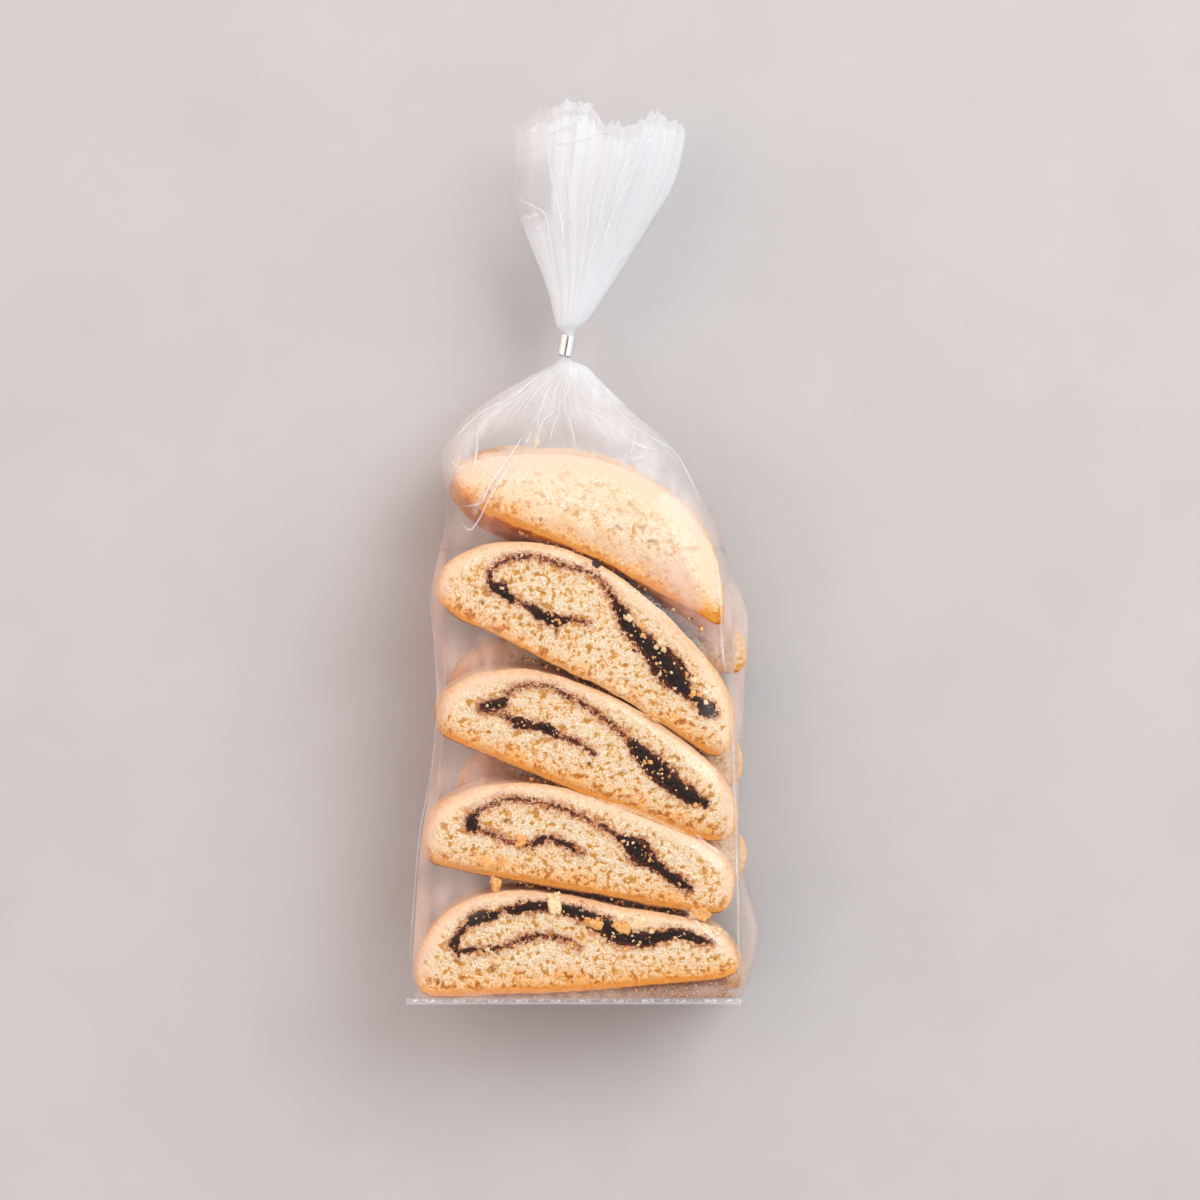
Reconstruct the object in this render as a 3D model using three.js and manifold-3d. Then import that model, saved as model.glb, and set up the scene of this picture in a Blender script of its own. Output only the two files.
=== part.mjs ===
// A clear gusseted bag of sliced biscotti, lying on its back on a table, with its neck
// gathered in a crimped metal clip and the spare film fanned out beyond it.
// Millimetres, +Z up. +Y runs from the bottom of the bag to its mouth.
// The bag is one closed solid with the outer shape of its film; the clip is a separate band.
import * as THREE from "three";
import { mergeVertices } from "three/addons/utils/BufferGeometryUtils.js";
import Module from "manifold-3d";

// Driving dimensions of the bag, measured from its bottom end.
const BAG_DEPTH = 45; // two layers of slices, one behind the other
const BODY_START = 1;
const BODY_END = 182.5; // where the film is gathered into the neck
const NECK_END = 190.5;
const TOP_END = 255.4; // the highest point of the fanned film
const NECK_RADIUS = 1.5;
const NECK_LEAN = 0.176; // sideways shift for each millimetre along the neck
const NECK_MIDDLE = { x: -2.3, y: 186.5, z: 20.5 };
const MOUTH_DEPTH = 14; // how far the open mouth sinks between the fanned pleats
const PLEATS = 16;
const EDGE_ROUND = 1.2; // the fold along the bottom edges

// The welded seam along the front edge of the bottom.
const SEAM = { length: 1, thickness: 0.8, overlap: 1.5, width: 94 };

// The metal band that closes the neck.
const CLIP = { innerRadius: 1.95, thickness: 0.42, height: 5.9, slit: 0.5, bevel: 0.08 };

// How finely the film is divided. The around count is four for each pleat.
const AROUND = 4 * PLEATS;
const ROWS = { body: 50, shoulder: 14, neck: 3, flare: 2, top: 16 };
const SHOULDER_START = 140;
const FLARE_END = 193; // where the film has spread out again beyond the clip

// The gaps between the slices of the front layer, from the top one down, where the film sinks in.
// Each stop is a place on the plan, half the width of the dip and its depth.
const GAPS = [
  [
    [-40, 133, 9, 3.6], [-24, 133.6, 5, 2.4], [-8, 130.2, 3, 1.3],
    [10, 122.6, 3, 1.3], [26, 112, 3, 1.4], [44, 100, 6, 2.6],
  ],
  [
    [-40, 97.5, 11, 4.2], [-25, 98.2, 6, 2.8], [-10, 95.6, 3, 1.3],
    [11, 86.2, 3, 1.2], [28, 75, 3, 1.2], [44, 64, 5, 2.2],
  ],
  [
    [-42, 63.5, 11, 4.2], [-26, 65, 5.5, 2.6], [-10, 62.6, 3, 1.3],
    [10, 56.4, 3, 1.2], [28, 49.4, 3, 1.2], [45, 42.5, 5, 2],
  ],
  [
    [-44, 28.5, 10, 3.8], [-30, 33.2, 5, 2.4], [-14, 33.2, 3, 1.3],
    [10, 28.6, 3, 1.2], [28, 25.6, 3, 1.2], [46, 21.6, 4.5, 1.8],
  ],
];

// A smooth curve through [place, value] pairs that never overshoots them, level beyond both ends.
function through(pairs) {
  const last = pairs.length - 1;
  const rise = (i) => (pairs[i + 1][1] - pairs[i][1]) / (pairs[i + 1][0] - pairs[i][0]);
  const slope = (i) => {
    if (i === 0 || i === last) return rise(Math.min(i, last - 1));
    const [before, after] = [rise(i - 1), rise(i)];
    return before * after <= 0 ? 0 : (2 * before * after) / (before + after);
  };
  return (place) => {
    if (place <= pairs[0][0]) return pairs[0][1];
    if (place >= pairs[last][0]) return pairs[last][1];
    const i = pairs.findIndex((pair) => pair[0] > place) - 1;
    const [[start, low], [end, high]] = [pairs[i], pairs[i + 1]];
    const step = end - start;
    const t = (place - start) / step;
    return (
      low * (2 * t ** 3 - 3 * t ** 2 + 1) +
      high * (3 * t ** 2 - 2 * t ** 3) +
      slope(i) * step * (t ** 3 - 2 * t ** 2 + t) +
      slope(i + 1) * step * (t ** 3 - t ** 2)
    );
  };
}

const neckX = (y) => NECK_MIDDLE.x + NECK_LEAN * (y - NECK_MIDDLE.y);
const neckEdge = (y, side) => [y, neckX(y) + side * NECK_RADIUS];

// The four long edges of the bag, as the sideways place of each along its length. The back
// layer sits a little to the right of the front one, so the section leans.
const frontLeft = through([
  [0, -47.3], [40, -44.8], [66, -41], [90, -39.3], [113, -41.8], [138, -37.5], [155, -39.4],
  [164, -33], [172, -23], [178, -12.5], neckEdge(BODY_END, -1), neckEdge(NECK_END, -1),
  [192, -5], [201, -7.3], [222, -14.9], [233, -18.4], [TOP_END, -18],
]);
const backLeft = through([
  [0, -42], [40, -38.6], [90, -36.5], [138, -36], [155, -37.5],
  [164, -32], [172, -22.5], [178, -12], neckEdge(BODY_END, -1), neckEdge(NECK_END, -1),
  [192, -5], [201, -7.3], [222, -14.9], [233, -18.4], [TOP_END, -18],
]);
const frontRight = through([
  [0, 47], [66, 46], [96, 42], [133, 40.5], [148, 34], [158, 27.5],
  [168, 16], [177, 6.8], [180.6, 3], neckEdge(BODY_END, 1), neckEdge(NECK_END, 1),
  [192.2, 2.2], [200, 8], [224, 21.9], [241, 29.5], [TOP_END, 32.4],
]);
const backRight = through([
  [0, 51], [16, 55.3], [34, 50.4], [60, 48.8], [84, 51.2], [105, 53.5], [126, 46], [148, 35],
  [158, 27.5], [168, 16], [177, 6.8], [180.6, 3], neckEdge(BODY_END, 1), neckEdge(NECK_END, 1),
  [192.2, 2.2], [200, 8], [224, 21.9], [241, 29.5], [TOP_END, 32.4],
]);

// The height of the front film and of the back film above the table.
const neckTop = NECK_MIDDLE.z + NECK_RADIUS;
const neckUnder = NECK_MIDDLE.z - NECK_RADIUS;
const frontHeight = through([
  [0, BAG_DEPTH], [118, BAG_DEPTH], [140, 43], [154, 37.5], [166, 30], [175, 25],
  [BODY_END, neckTop], [NECK_END, neckTop], [192.2, 24], [205, 27], [225, 31], [TOP_END, 34],
]);
const backHeight = through([
  [0, 0], [144, 0], [156, 4], [166, 10], [175, 15.5],
  [BODY_END, neckUnder], [NECK_END, neckUnder], [192.2, 17], [205, 14], [225, 9.5], [TOP_END, 6],
]);

// How square the section is: 2 is an ellipse and 8 nearly a box.
const squareness = through([[0, 9], [110, 7], [140, 4.4], [165, 2.6], [178, 2], [TOP_END, 2.2]]);

// The height of the pleats, and the depth of the fold along each side.
const pleatHeight = through([
  [0, 0], [147, 0], [160, 0.7], [172, 0.9], [BODY_END, 0.12], [NECK_END, 0.12],
  [205, 1.2], [225, 2], [TOP_END, 2.6],
]);
const gusset = through([[0, 2], [40, 1.5], [130, 1.2], [165, 0], [TOP_END, 0]]);

const dips = GAPS.map((stops) => ({
  line: through(stops.map(([x, y]) => [x, y])),
  half: through(stops.map(([x, , half]) => [x, half])),
  depth: through(stops.map(([x, , , depth]) => [x, depth])),
}));

// How far the front film sinks between the slices at a place on the plan.
function sag(x, y) {
  const share = (dip) => Math.exp(-(((y - dip.line(x)) / dip.half(x)) ** 2));
  return dips.reduce((total, dip) => total + dip.depth(x) * share(dip), 0);
}

// The ragged mouth: how far each place across the fan reaches, from -1 to 1.
const topEdge = through([
  [-1, 249], [-0.75, 252], [-0.4, 254.6], [-0.22, TOP_END], [-0.08, 253.6], [0.02, 249],
  [0.3, 248.2], [0.55, 251], [0.7, 253], [0.82, 250.4], [1, 248.4],
]);

// The place along the bag of each row of points.
const rowPlaces = [BODY_START, BODY_START + EDGE_ROUND];
function addRows(end, count) {
  const start = rowPlaces[rowPlaces.length - 1];
  for (let i = 1; i <= count; i++) rowPlaces.push(start + ((end - start) * i) / count);
}
addRows(SHOULDER_START, ROWS.body);
addRows(BODY_END, ROWS.shoulder);
addRows(NECK_END, ROWS.neck);
addRows(FLARE_END, ROWS.flare);
addRows(TOP_END, ROWS.top);

// A point of the film. turn runs once round the section from the +X side, y is the row's place.
function filmPoint(turn, y) {
  const angle = 2 * Math.PI * turn + Math.sin(4 * Math.PI * turn) / 6; // evens out the spacing
  const [c, s] = [Math.cos(angle), Math.sin(angle)];
  const power = squareness(y);
  const reach = (Math.abs(c) ** power + Math.abs(s) ** power) ** (-1 / power);
  const pleat = pleatHeight(y) * Math.cos(2 * Math.PI * PLEATS * turn);
  const across = c * reach;
  const up = s * reach;
  const level = (up + 1) / 2;
  const left = THREE.MathUtils.lerp(backLeft(y), frontLeft(y), level);
  const right = THREE.MathUtils.lerp(backRight(y), frontRight(y), level);
  const fold = gusset(y) * Math.exp(-((up / 0.3) ** 2)) * across;
  const inset = y === BODY_START ? 1 - EDGE_ROUND / BAG_DEPTH : 1;
  const middle = (left + right) / 2;
  const x = middle + ((right - left) / 2) * across * inset - fold + pleat * c;
  const span = frontHeight(y) - backHeight(y);
  const sunk = sag(x, y) * THREE.MathUtils.smoothstep(up, 0.2, 0.95);
  const z = backHeight(y) + span * (0.5 + (up * inset) / 2) + pleat * s - sunk;
  const fan = THREE.MathUtils.smoothstep(y, NECK_END, TOP_END);
  const ragged = THREE.MathUtils.lerp(TOP_END, topEdge(across), fan ** 2) - TOP_END;
  return new THREE.Vector3(x, y + ragged, z);
}

function middleOf(y) {
  const x = (frontLeft(y) + frontRight(y) + backLeft(y) + backRight(y)) / 4;
  return new THREE.Vector3(x, y, (frontHeight(y) + backHeight(y)) / 2);
}

// The film's outer shape: a closed drum whose rings are moved to the sections of the bag.
function filmGeometry() {
  const rows = rowPlaces.length - 1;
  const drum = new THREE.CylinderGeometry(1, 1, 1, AROUND, rows);
  const points = drum.attributes.position;
  const point = new THREE.Vector3();
  for (let i = 0; i < points.count; i++) {
    point.fromBufferAttribute(points, i);
    const row = Math.round((point.y + 0.5) * rows);
    const y = rowPlaces[row];
    const onAxis = Math.hypot(point.x, point.z) < 0.5;
    const turn = Math.round((Math.atan2(point.z, point.x) / (2 * Math.PI)) * AROUND) / AROUND;
    const moved = onAxis ? middleOf(y) : filmPoint(turn, y);
    if (onAxis && row === rows) moved.y -= MOUTH_DEPTH;
    points.setXYZ(i, moved.x, moved.y, moved.z);
  }
  return drum;
}

// The seam is a thin flat strip that stands out from the bottom edge of the front.
function seamGeometry() {
  const strip = new THREE.BoxGeometry(SEAM.width, SEAM.length + SEAM.overlap, SEAM.thickness);
  const middle = (frontLeft(BODY_START) + frontRight(BODY_START)) / 2;
  const y = BODY_START + (SEAM.overlap - SEAM.length) / 2;
  return strip.translate(middle, y, BAG_DEPTH - EDGE_ROUND - SEAM.thickness / 2);
}

const wasm = await Module();
wasm.setup();

function toSolid(geometry) {
  const bare = geometry.clone();
  bare.deleteAttribute("normal");
  bare.deleteAttribute("uv");
  const merged = mergeVertices(bare, 1e-3);
  return new wasm.Manifold(
    new wasm.Mesh({
      numProp: 3,
      vertProperties: merged.attributes.position.array,
      triVerts: new Uint32Array(merged.index.array),
    }),
  );
}

function toGeometry(solid) {
  const mesh = solid.getMesh();
  const geometry = new THREE.BufferGeometry();
  geometry.setAttribute("position", new THREE.BufferAttribute(mesh.vertProperties, 3));
  geometry.setIndex(new THREE.BufferAttribute(mesh.triVerts, 1));
  geometry.computeVertexNormals();
  return geometry;
}

function makeBag() {
  const solid = toSolid(filmGeometry()).add(toSolid(seamGeometry()));
  const film = new THREE.MeshStandardMaterial({
    color: 0xe9e4df,
    roughness: 0.15,
    metalness: 0,
    transparent: true,
    opacity: 0.5,
  });
  const bag = new THREE.Mesh(toGeometry(solid), film);
  bag.name = "bag";
  return bag;
}

// The clip is a strip of metal bent round the neck, with its two ends nearly meeting underneath.
function makeClip() {
  const outerRadius = CLIP.innerRadius + CLIP.thickness;
  const halfSlit = CLIP.slit / 2 / CLIP.innerRadius;
  const outline = new THREE.Shape();
  outline.absarc(0, 0, outerRadius, halfSlit, 2 * Math.PI - halfSlit, false);
  outline.absarc(0, 0, CLIP.innerRadius, 2 * Math.PI - halfSlit, halfSlit, true);
  const band = new THREE.ExtrudeGeometry(outline, {
    depth: CLIP.height - 2 * CLIP.bevel,
    bevelThickness: CLIP.bevel,
    bevelSize: CLIP.bevel,
    bevelOffset: -CLIP.bevel,
    bevelSegments: 1,
    curveSegments: 20,
  });
  band.translate(0, 0, CLIP.bevel - CLIP.height / 2);
  band.rotateZ(Math.PI / 2); // the slit faces up before the band is laid down
  band.rotateX(Math.PI / 2); // and the table once its length runs along the bag
  band.rotateZ(-Math.atan(NECK_LEAN));
  const metal = new THREE.MeshStandardMaterial({ color: 0xc4c6c9, roughness: 0.25, metalness: 1 });
  const clip = new THREE.Mesh(band, metal);
  clip.name = "clip";
  clip.position.set(NECK_MIDDLE.x, NECK_MIDDLE.y, NECK_MIDDLE.z);
  return clip;
}

// The origin is at the middle of the pack's footprint, on the table.
const pack = new THREE.Group();
pack.add(makeBag(), makeClip());
const bounds = new THREE.Box3().setFromObject(pack, true);
const centre = bounds.getCenter(new THREE.Vector3());
pack.position.set(-centre.x, -centre.y, -bounds.min.z);

export default pack;
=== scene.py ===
# A clear gusseted bag of sliced biscotti, lying on its back: the film, the slices in two layers,
# the jam that runs through them, loose crumbs, and the metal clip round the neck.
# Pieces are modelled in millimetres on the pack's own plan, with x across it from the middle of
# its bottom, y from its bottom seam to its mouth and z up from the table. Each is then moved to
# the frame's metres.
import bmesh
import bpy
import math
import numpy as np
from mathutils import Matrix, Vector


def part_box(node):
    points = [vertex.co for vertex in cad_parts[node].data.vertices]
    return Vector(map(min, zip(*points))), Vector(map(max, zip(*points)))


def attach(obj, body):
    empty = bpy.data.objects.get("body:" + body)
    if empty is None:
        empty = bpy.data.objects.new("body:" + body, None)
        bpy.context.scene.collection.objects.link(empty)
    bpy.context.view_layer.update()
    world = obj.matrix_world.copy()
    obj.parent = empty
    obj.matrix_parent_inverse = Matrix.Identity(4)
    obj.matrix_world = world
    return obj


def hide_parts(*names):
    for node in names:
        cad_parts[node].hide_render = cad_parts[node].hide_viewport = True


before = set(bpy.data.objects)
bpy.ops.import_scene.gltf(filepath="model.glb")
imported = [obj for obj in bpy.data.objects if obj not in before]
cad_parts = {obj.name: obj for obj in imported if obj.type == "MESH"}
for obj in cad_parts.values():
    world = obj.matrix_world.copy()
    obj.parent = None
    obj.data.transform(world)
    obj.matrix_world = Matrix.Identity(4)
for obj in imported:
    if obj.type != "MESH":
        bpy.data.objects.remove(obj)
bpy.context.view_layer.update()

MM = 0.001

# The bag's own sizes, as its solid has them.
BODY_START = 1.0
BODY_END = 182.5
NECK_END = 190.5
TOP_END = 255.4
NECK_RADIUS = 1.5
NECK_LEAN = 0.176
NECK_MIDDLE = Vector((-2.3, 186.5, 20.5))
BAG_DEPTH = 45.0
EDGE_ROUND = 1.2
SEAM_WIDTH = 94.0
FILM_THICKNESS = 0.07

# How far inside the film its contents keep.
SLICE_GAP = 0.45
JAM_GAP = 0.4
CRUMB_GAP = 0.12

# How the photograph was taken: straight down from this height over this place on the plan.
CAMERA_PLACE = (7.3, 113.3, 900.0)
CAMERA_LENS = 91.6
SENSOR = 36.0

# Half the width of the table top, in metres.
TABLE_REACH = 3.0


def mix(a, b, share):
    """The value this share of the way from a to b."""
    return a + (b - a) * share


def ease(low, high, value):
    """0 below low, 1 above high, and a smooth rise between them."""
    t = np.clip((value - low) / (high - low), 0, 1)
    return t * t * (3 - 2 * t)


def through(pairs):
    """A smooth curve through (place, value) pairs that never overshoots them."""
    place, value = np.array(pairs, float).T
    rise = np.diff(value) / np.diff(place)
    before, after = rise[:-1], rise[1:]
    both = np.where(before * after > 0, before + after, 1)
    inner = np.where(before * after > 0, 2 * before * after / both, 0)
    slope = np.concatenate((rise[:1], inner, rise[-1:]))

    def curve(at):
        at = np.clip(at, place[0], place[-1])
        i = np.clip(np.searchsorted(place, at, side="right") - 1, 0, len(place) - 2)
        step = place[i + 1] - place[i]
        t = (at - place[i]) / step
        return (
            value[i] * (2 * t**3 - 3 * t**2 + 1)
            + value[i + 1] * (3 * t**2 - 2 * t**3)
            + slope[i] * step * (t**3 - 2 * t**2 + t)
            + slope[i + 1] * step * (t**3 - t**2)
        )

    return curve


def smooth_path(points, closed, count):
    """Evenly spaced points on a smooth curve through the given ones, and how far along each is.

    A point may carry more numbers than its place, such as a width, and they run smoothly too.
    """
    points = np.array(points, float)
    if closed:
        knots = np.concatenate((points[-1:], points, points[:2]))
    else:
        knots = np.concatenate((2 * points[:1] - points[1:2], points, 2 * points[-1:] - points[-2:-1]))
    t = np.linspace(0, 1, 12, endpoint=False)[None, :, None]
    a, b, c, d = (knots[i : len(knots) - 3 + i, None, :] for i in range(4))
    curve = 0.5 * (2 * b + (c - a) * t + (2 * a - 5 * b + 4 * c - d) * t**2 + (3 * b - a - 3 * c + d) * t**3)
    curve = np.concatenate((curve.reshape(-1, points.shape[1]), knots[-2:-1]))
    travelled = np.concatenate(([0], np.cumsum(np.hypot(*np.diff(curve[:, :2], axis=0).T))))
    places = np.linspace(0, travelled[-1], count, endpoint=not closed)
    return np.column_stack([np.interp(places, travelled, column) for column in curve.T])


def nearest(points, path):
    """For each point, its distance to the path and how far along the path, 0 to 1, that is."""
    starts, steps = path[:-1], np.diff(path, axis=0)
    squares = np.maximum((steps**2).sum(1), 1e-9)
    distance, along = np.empty(len(points)), np.empty(len(points))
    for first in range(0, len(points), 4000):
        block = slice(first, first + 4000)
        offset = points[block, None, :] - starts[None]
        t = np.clip((offset * steps[None]).sum(2) / squares, 0, 1)
        gap = ((offset - t[:, :, None] * steps[None]) ** 2).sum(2)
        best = gap.argmin(1)
        rows = np.arange(len(best))
        distance[block] = np.sqrt(gap[rows, best])
        along[block] = (best + t[rows, best]) / len(steps)
    return distance, along


def mottle(points, size, seed):
    """Smooth noise from -1 to 1 with lumps of about the given size, which may differ by axis."""
    lattice = np.random.default_rng(seed).uniform(-1, 1, (32, 32, 32))
    scaled = points / np.broadcast_to(size, 3) + 500
    cell = np.floor(scaled).astype(int)
    t = scaled - cell
    t = t * t * (3 - 2 * t)
    total = 0
    for corner in np.ndindex(2, 2, 2):
        weight = np.prod(np.where(corner, t, 1 - t), axis=1)
        total = total + weight * lattice[tuple(((cell + corner) % 32).T)]
    return total


# The four long edges of the bag and the heights of its two sides, along its length.
def neck_x(y):
    """Where the middle of the neck is, across the plan."""
    return NECK_MIDDLE.x + NECK_LEAN * (y - NECK_MIDDLE.y)


def neck_edge(y, side):
    """A stop on the left or right edge of the neck."""
    return (y, neck_x(y) + side * NECK_RADIUS)


NECK_LEFT = [neck_edge(BODY_END, -1), neck_edge(NECK_END, -1)]
NECK_RIGHT = [neck_edge(BODY_END, 1), neck_edge(NECK_END, 1)]
FAN_LEFT = [(192, -5), (201, -7.3), (222, -14.9), (233, -18.4), (TOP_END, -18)]
FAN_RIGHT = [(192.2, 2.2), (200, 8), (224, 21.9), (241, 29.5), (TOP_END, 32.4)]
front_left = through(
    [(0, -47.3), (40, -44.8), (66, -41), (90, -39.3), (113, -41.8), (138, -37.5), (155, -39.4)]
    + [(164, -33), (172, -23), (178, -12.5)] + NECK_LEFT + FAN_LEFT
)
back_left = through(
    [(0, -42), (40, -38.6), (90, -36.5), (138, -36), (155, -37.5)]
    + [(164, -32), (172, -22.5), (178, -12)] + NECK_LEFT + FAN_LEFT
)
front_right = through(
    [(0, 47), (66, 46), (96, 42), (133, 40.5), (148, 34), (158, 27.5), (168, 16), (177, 6.8)]
    + [(180.6, 3)] + NECK_RIGHT + FAN_RIGHT
)
back_right = through(
    [(0, 51), (16, 55.3), (34, 50.4), (60, 48.8), (84, 51.2), (105, 53.5), (126, 46), (148, 35)]
    + [(158, 27.5), (168, 16), (177, 6.8), (180.6, 3)] + NECK_RIGHT + FAN_RIGHT
)
NECK_TOP = NECK_MIDDLE.z + NECK_RADIUS
NECK_UNDER = NECK_MIDDLE.z - NECK_RADIUS
front_height = through(
    [(0, BAG_DEPTH), (118, BAG_DEPTH), (140, 43), (154, 37.5), (166, 30), (175, 25)]
    + [(BODY_END, NECK_TOP), (NECK_END, NECK_TOP), (192.2, 24), (205, 27), (225, 31), (TOP_END, 34)]
)
back_height = through(
    [(0, 0), (144, 0), (156, 4), (166, 10), (175, 15.5)]
    + [(BODY_END, NECK_UNDER), (NECK_END, NECK_UNDER), (192.2, 17), (205, 14), (225, 9.5)]
    + [(TOP_END, 6)]
)
squareness = through([(0, 9), (110, 7), (140, 4.4), (165, 2.6), (178, 2), (TOP_END, 2.2)])
gusset = through([(0, 2), (40, 1.5), (130, 1.2), (165, 0), (TOP_END, 0)])
top_edge = through(
    [(-1, 249), (-0.75, 252), (-0.4, 254.6), (-0.22, TOP_END), (-0.08, 253.6), (0.02, 249)]
    + [(0.3, 248.2), (0.55, 251), (0.7, 253), (0.82, 250.4), (1, 248.4)]
)

# The gaps between the slices of the front layer, from the top one down, where the film sinks in.
# Each stop is a place on the plan, half the width of the dip and its depth.
GAPS = [
    [(-40, 133, 9, 3.6), (-24, 133.6, 5, 2.4), (-8, 130.2, 3, 1.3)]
    + [(10, 122.6, 3, 1.3), (26, 112, 3, 1.4), (44, 100, 6, 2.6)],
    [(-40, 97.5, 11, 4.2), (-25, 98.2, 6, 2.8), (-10, 95.6, 3, 1.3)]
    + [(11, 86.2, 3, 1.2), (28, 75, 3, 1.2), (44, 64, 5, 2.2)],
    [(-42, 63.5, 11, 4.2), (-26, 65, 5.5, 2.6), (-10, 62.6, 3, 1.3)]
    + [(10, 56.4, 3, 1.2), (28, 49.4, 3, 1.2), (45, 42.5, 5, 2)],
    [(-44, 28.5, 10, 3.8), (-30, 33.2, 5, 2.4), (-14, 33.2, 3, 1.3)]
    + [(10, 28.6, 3, 1.2), (28, 25.6, 3, 1.2), (46, 21.6, 4.5, 1.8)],
]
dips = [[through([(stop[0], stop[i]) for stop in gap]) for i in (1, 2, 3)] for gap in GAPS]


def sag(x, y):
    """How far the front film sinks between the slices at a place on the plan."""
    return sum(depth(x) * np.exp(-(((y - line(x)) / half(x)) ** 2)) for line, half, depth in dips)


def film_levels(x, y):
    """The heights of the film's back and front over a place on the plan."""
    left, right = mix(back_left(y), front_left(y), 0.75), mix(back_right(y), front_right(y), 0.75)
    across = np.clip(np.abs((x - (left + right) / 2) / (right - left) * 2), 0, 0.995)
    up = (1 - across ** squareness(y)) ** (1 / squareness(y))
    low, high = back_height(y), front_height(y)
    return mix(low, high, (1 - up) / 2), mix(low, high, (1 + up) / 2) - sag(x, y) * ease(0.2, 0.95, up)


def kept_inside(places, gap):
    """The places, with any that are higher or lower than the film brought back inside it."""
    x, y, z = places.T
    back, front = film_levels(x, y)
    return np.column_stack((x, y, np.clip(z, np.where(y < 140, 0.6, back + gap), front - gap)))


# The bag's solid starts at the left end of its bottom seam, which places the plan in the frame.
seam_middle = (front_left(BODY_START) + front_right(BODY_START)) / 2
bag_low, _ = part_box("bag")
TO_FRAME = Matrix.Translation(
    (bag_low.x - (seam_middle - SEAM_WIDTH / 2) * MM, bag_low.y, 0)
) @ Matrix.Scale(MM, 4)


def mesh_of(bm, name):
    """The bmesh as a new mesh."""
    mesh = bpy.data.meshes.new(name)
    bm.to_mesh(mesh)
    bm.free()
    return mesh


def places_of(mesh):
    """The mesh's vertices as rows of x, y, z."""
    flat = np.empty(len(mesh.vertices) * 3)
    mesh.vertices.foreach_get("co", flat)
    return flat.reshape(-1, 3)


def move_points(mesh, places):
    """Puts the mesh's vertices at these places."""
    mesh.vertices.foreach_set("co", np.ascontiguousarray(places, float).ravel())
    mesh.update()


def paint(mesh, name, values):
    """Keeps one number for each vertex, for the finish to read."""
    layer = mesh.attributes.new(name, "FLOAT", "POINT")
    layer.data.foreach_set("value", np.ascontiguousarray(values, np.float32))


def remeshed(bm, voxel, name):
    """The closed shape in bm as a fine, even mesh."""
    rough = bpy.data.objects.new(name, mesh_of(bm, name))
    bpy.context.collection.objects.link(rough)
    even = rough.modifiers.new("even", "REMESH")
    even.mode = "VOXEL"
    even.voxel_size = voxel
    ready = rough.evaluated_get(bpy.context.evaluated_depsgraph_get())
    mesh = bpy.data.meshes.new_from_object(ready)
    bpy.data.objects.remove(rough)
    mesh.name = name
    return mesh


def add_piece(name, mesh, finish):
    """A finished piece that stands for part of the bag's solid."""
    mesh.transform(TO_FRAME)
    mesh.polygons.foreach_set("use_smooth", np.ones(len(mesh.polygons), bool))
    mesh.materials.clear()
    mesh.materials.append(finish)
    piece = bpy.data.objects.new(name, mesh)
    bpy.context.collection.objects.link(piece)
    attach(piece, "root")
    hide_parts("bag")
    return piece


class Wire:
    """A shader socket that ordinary arithmetic works on."""

    def __init__(self, finish, socket):
        self.finish, self.socket = finish, socket

    def maths(self, operation, *values):
        """The result of one Math node."""
        inputs = dict(enumerate(values))
        return self.finish.node("ShaderNodeMath", {"operation": operation}, inputs)

    def __add__(self, other):
        return self.maths("ADD", self, other)

    def __sub__(self, other):
        return self.maths("SUBTRACT", self, other)

    def __rsub__(self, other):
        return self.maths("SUBTRACT", other, self)

    def __mul__(self, other):
        return self.maths("MULTIPLY", self, other)

    def __pow__(self, other):
        return self.maths("POWER", self, other)

    def clipped(self):
        """The value kept from 0 to 1."""
        return self.finish.node("ShaderNodeClamp", {}, {0: self})

    def between(self, low, high):
        """0 where the value is low, 1 where it is high, and a smooth rise between them."""
        inputs = {"Value": self, "From Min": low, "From Max": high}
        return self.finish.node("ShaderNodeMapRange", {"interpolation_type": "SMOOTHSTEP"}, inputs)

    __radd__ = __add__
    __rmul__ = __mul__


class Finish:
    """The nodes of a material or of the room's light."""

    def __init__(self, owner):
        self.owner = owner
        owner.use_nodes = True
        self.tree = owner.node_tree
        self.tree.nodes.clear()
        self.place = self.node("ShaderNodeTexCoord", {}, {}, "Object")

    def node(self, kind, settings, inputs, output=0):
        """A node of this kind with its settings, and the values or wires of its sockets."""
        node = self.tree.nodes.new(kind)
        for name, value in settings.items():
            setattr(node, name, value)
        for name, value in inputs.items():
            if isinstance(value, Wire):
                self.tree.links.new(value.socket, node.inputs[name])
            else:
                node.inputs[name].default_value = value
        return None if output is None else Wire(self, node.outputs[output])

    def painted(self, name):
        """A number kept on the mesh for each vertex."""
        return self.node("ShaderNodeAttribute", {"attribute_name": name}, {}, "Fac")

    def noise(self, size_mm, detail=2.0, roughness=0.5):
        """Soft noise, about 0.5, with lumps of this size."""
        inputs = {"Vector": self.place, "Scale": 1 / (size_mm * MM)}
        inputs.update({"Detail": detail, "Roughness": roughness})
        return self.node("ShaderNodeTexNoise", {}, inputs)

    def blend(self, share, a, b):
        """A colour this share of the way from a to b."""
        return self.node(
            "ShaderNodeMix", {"data_type": "RGBA"}, {0: share, 6: colour(a), 7: colour(b)}, 2
        )

    def bump(self, height, depth_mm):
        """The surface's direction where small bumps of this depth follow the height."""
        inputs = {"Height": height, "Distance": depth_mm * MM}
        return self.node("ShaderNodeBump", {}, inputs, "Normal")

    def shown(self, surface, end="ShaderNodeOutputMaterial"):
        """Ends the nodes with this shader, and returns the material or the light."""
        self.node(end, {}, {"Surface": surface}, None)
        return self.owner


def colour(value):
    """A colour of three numbers as a shader takes it, or a wire as it is."""
    return value if isinstance(value, Wire) else (*value, 1.0)


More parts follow.
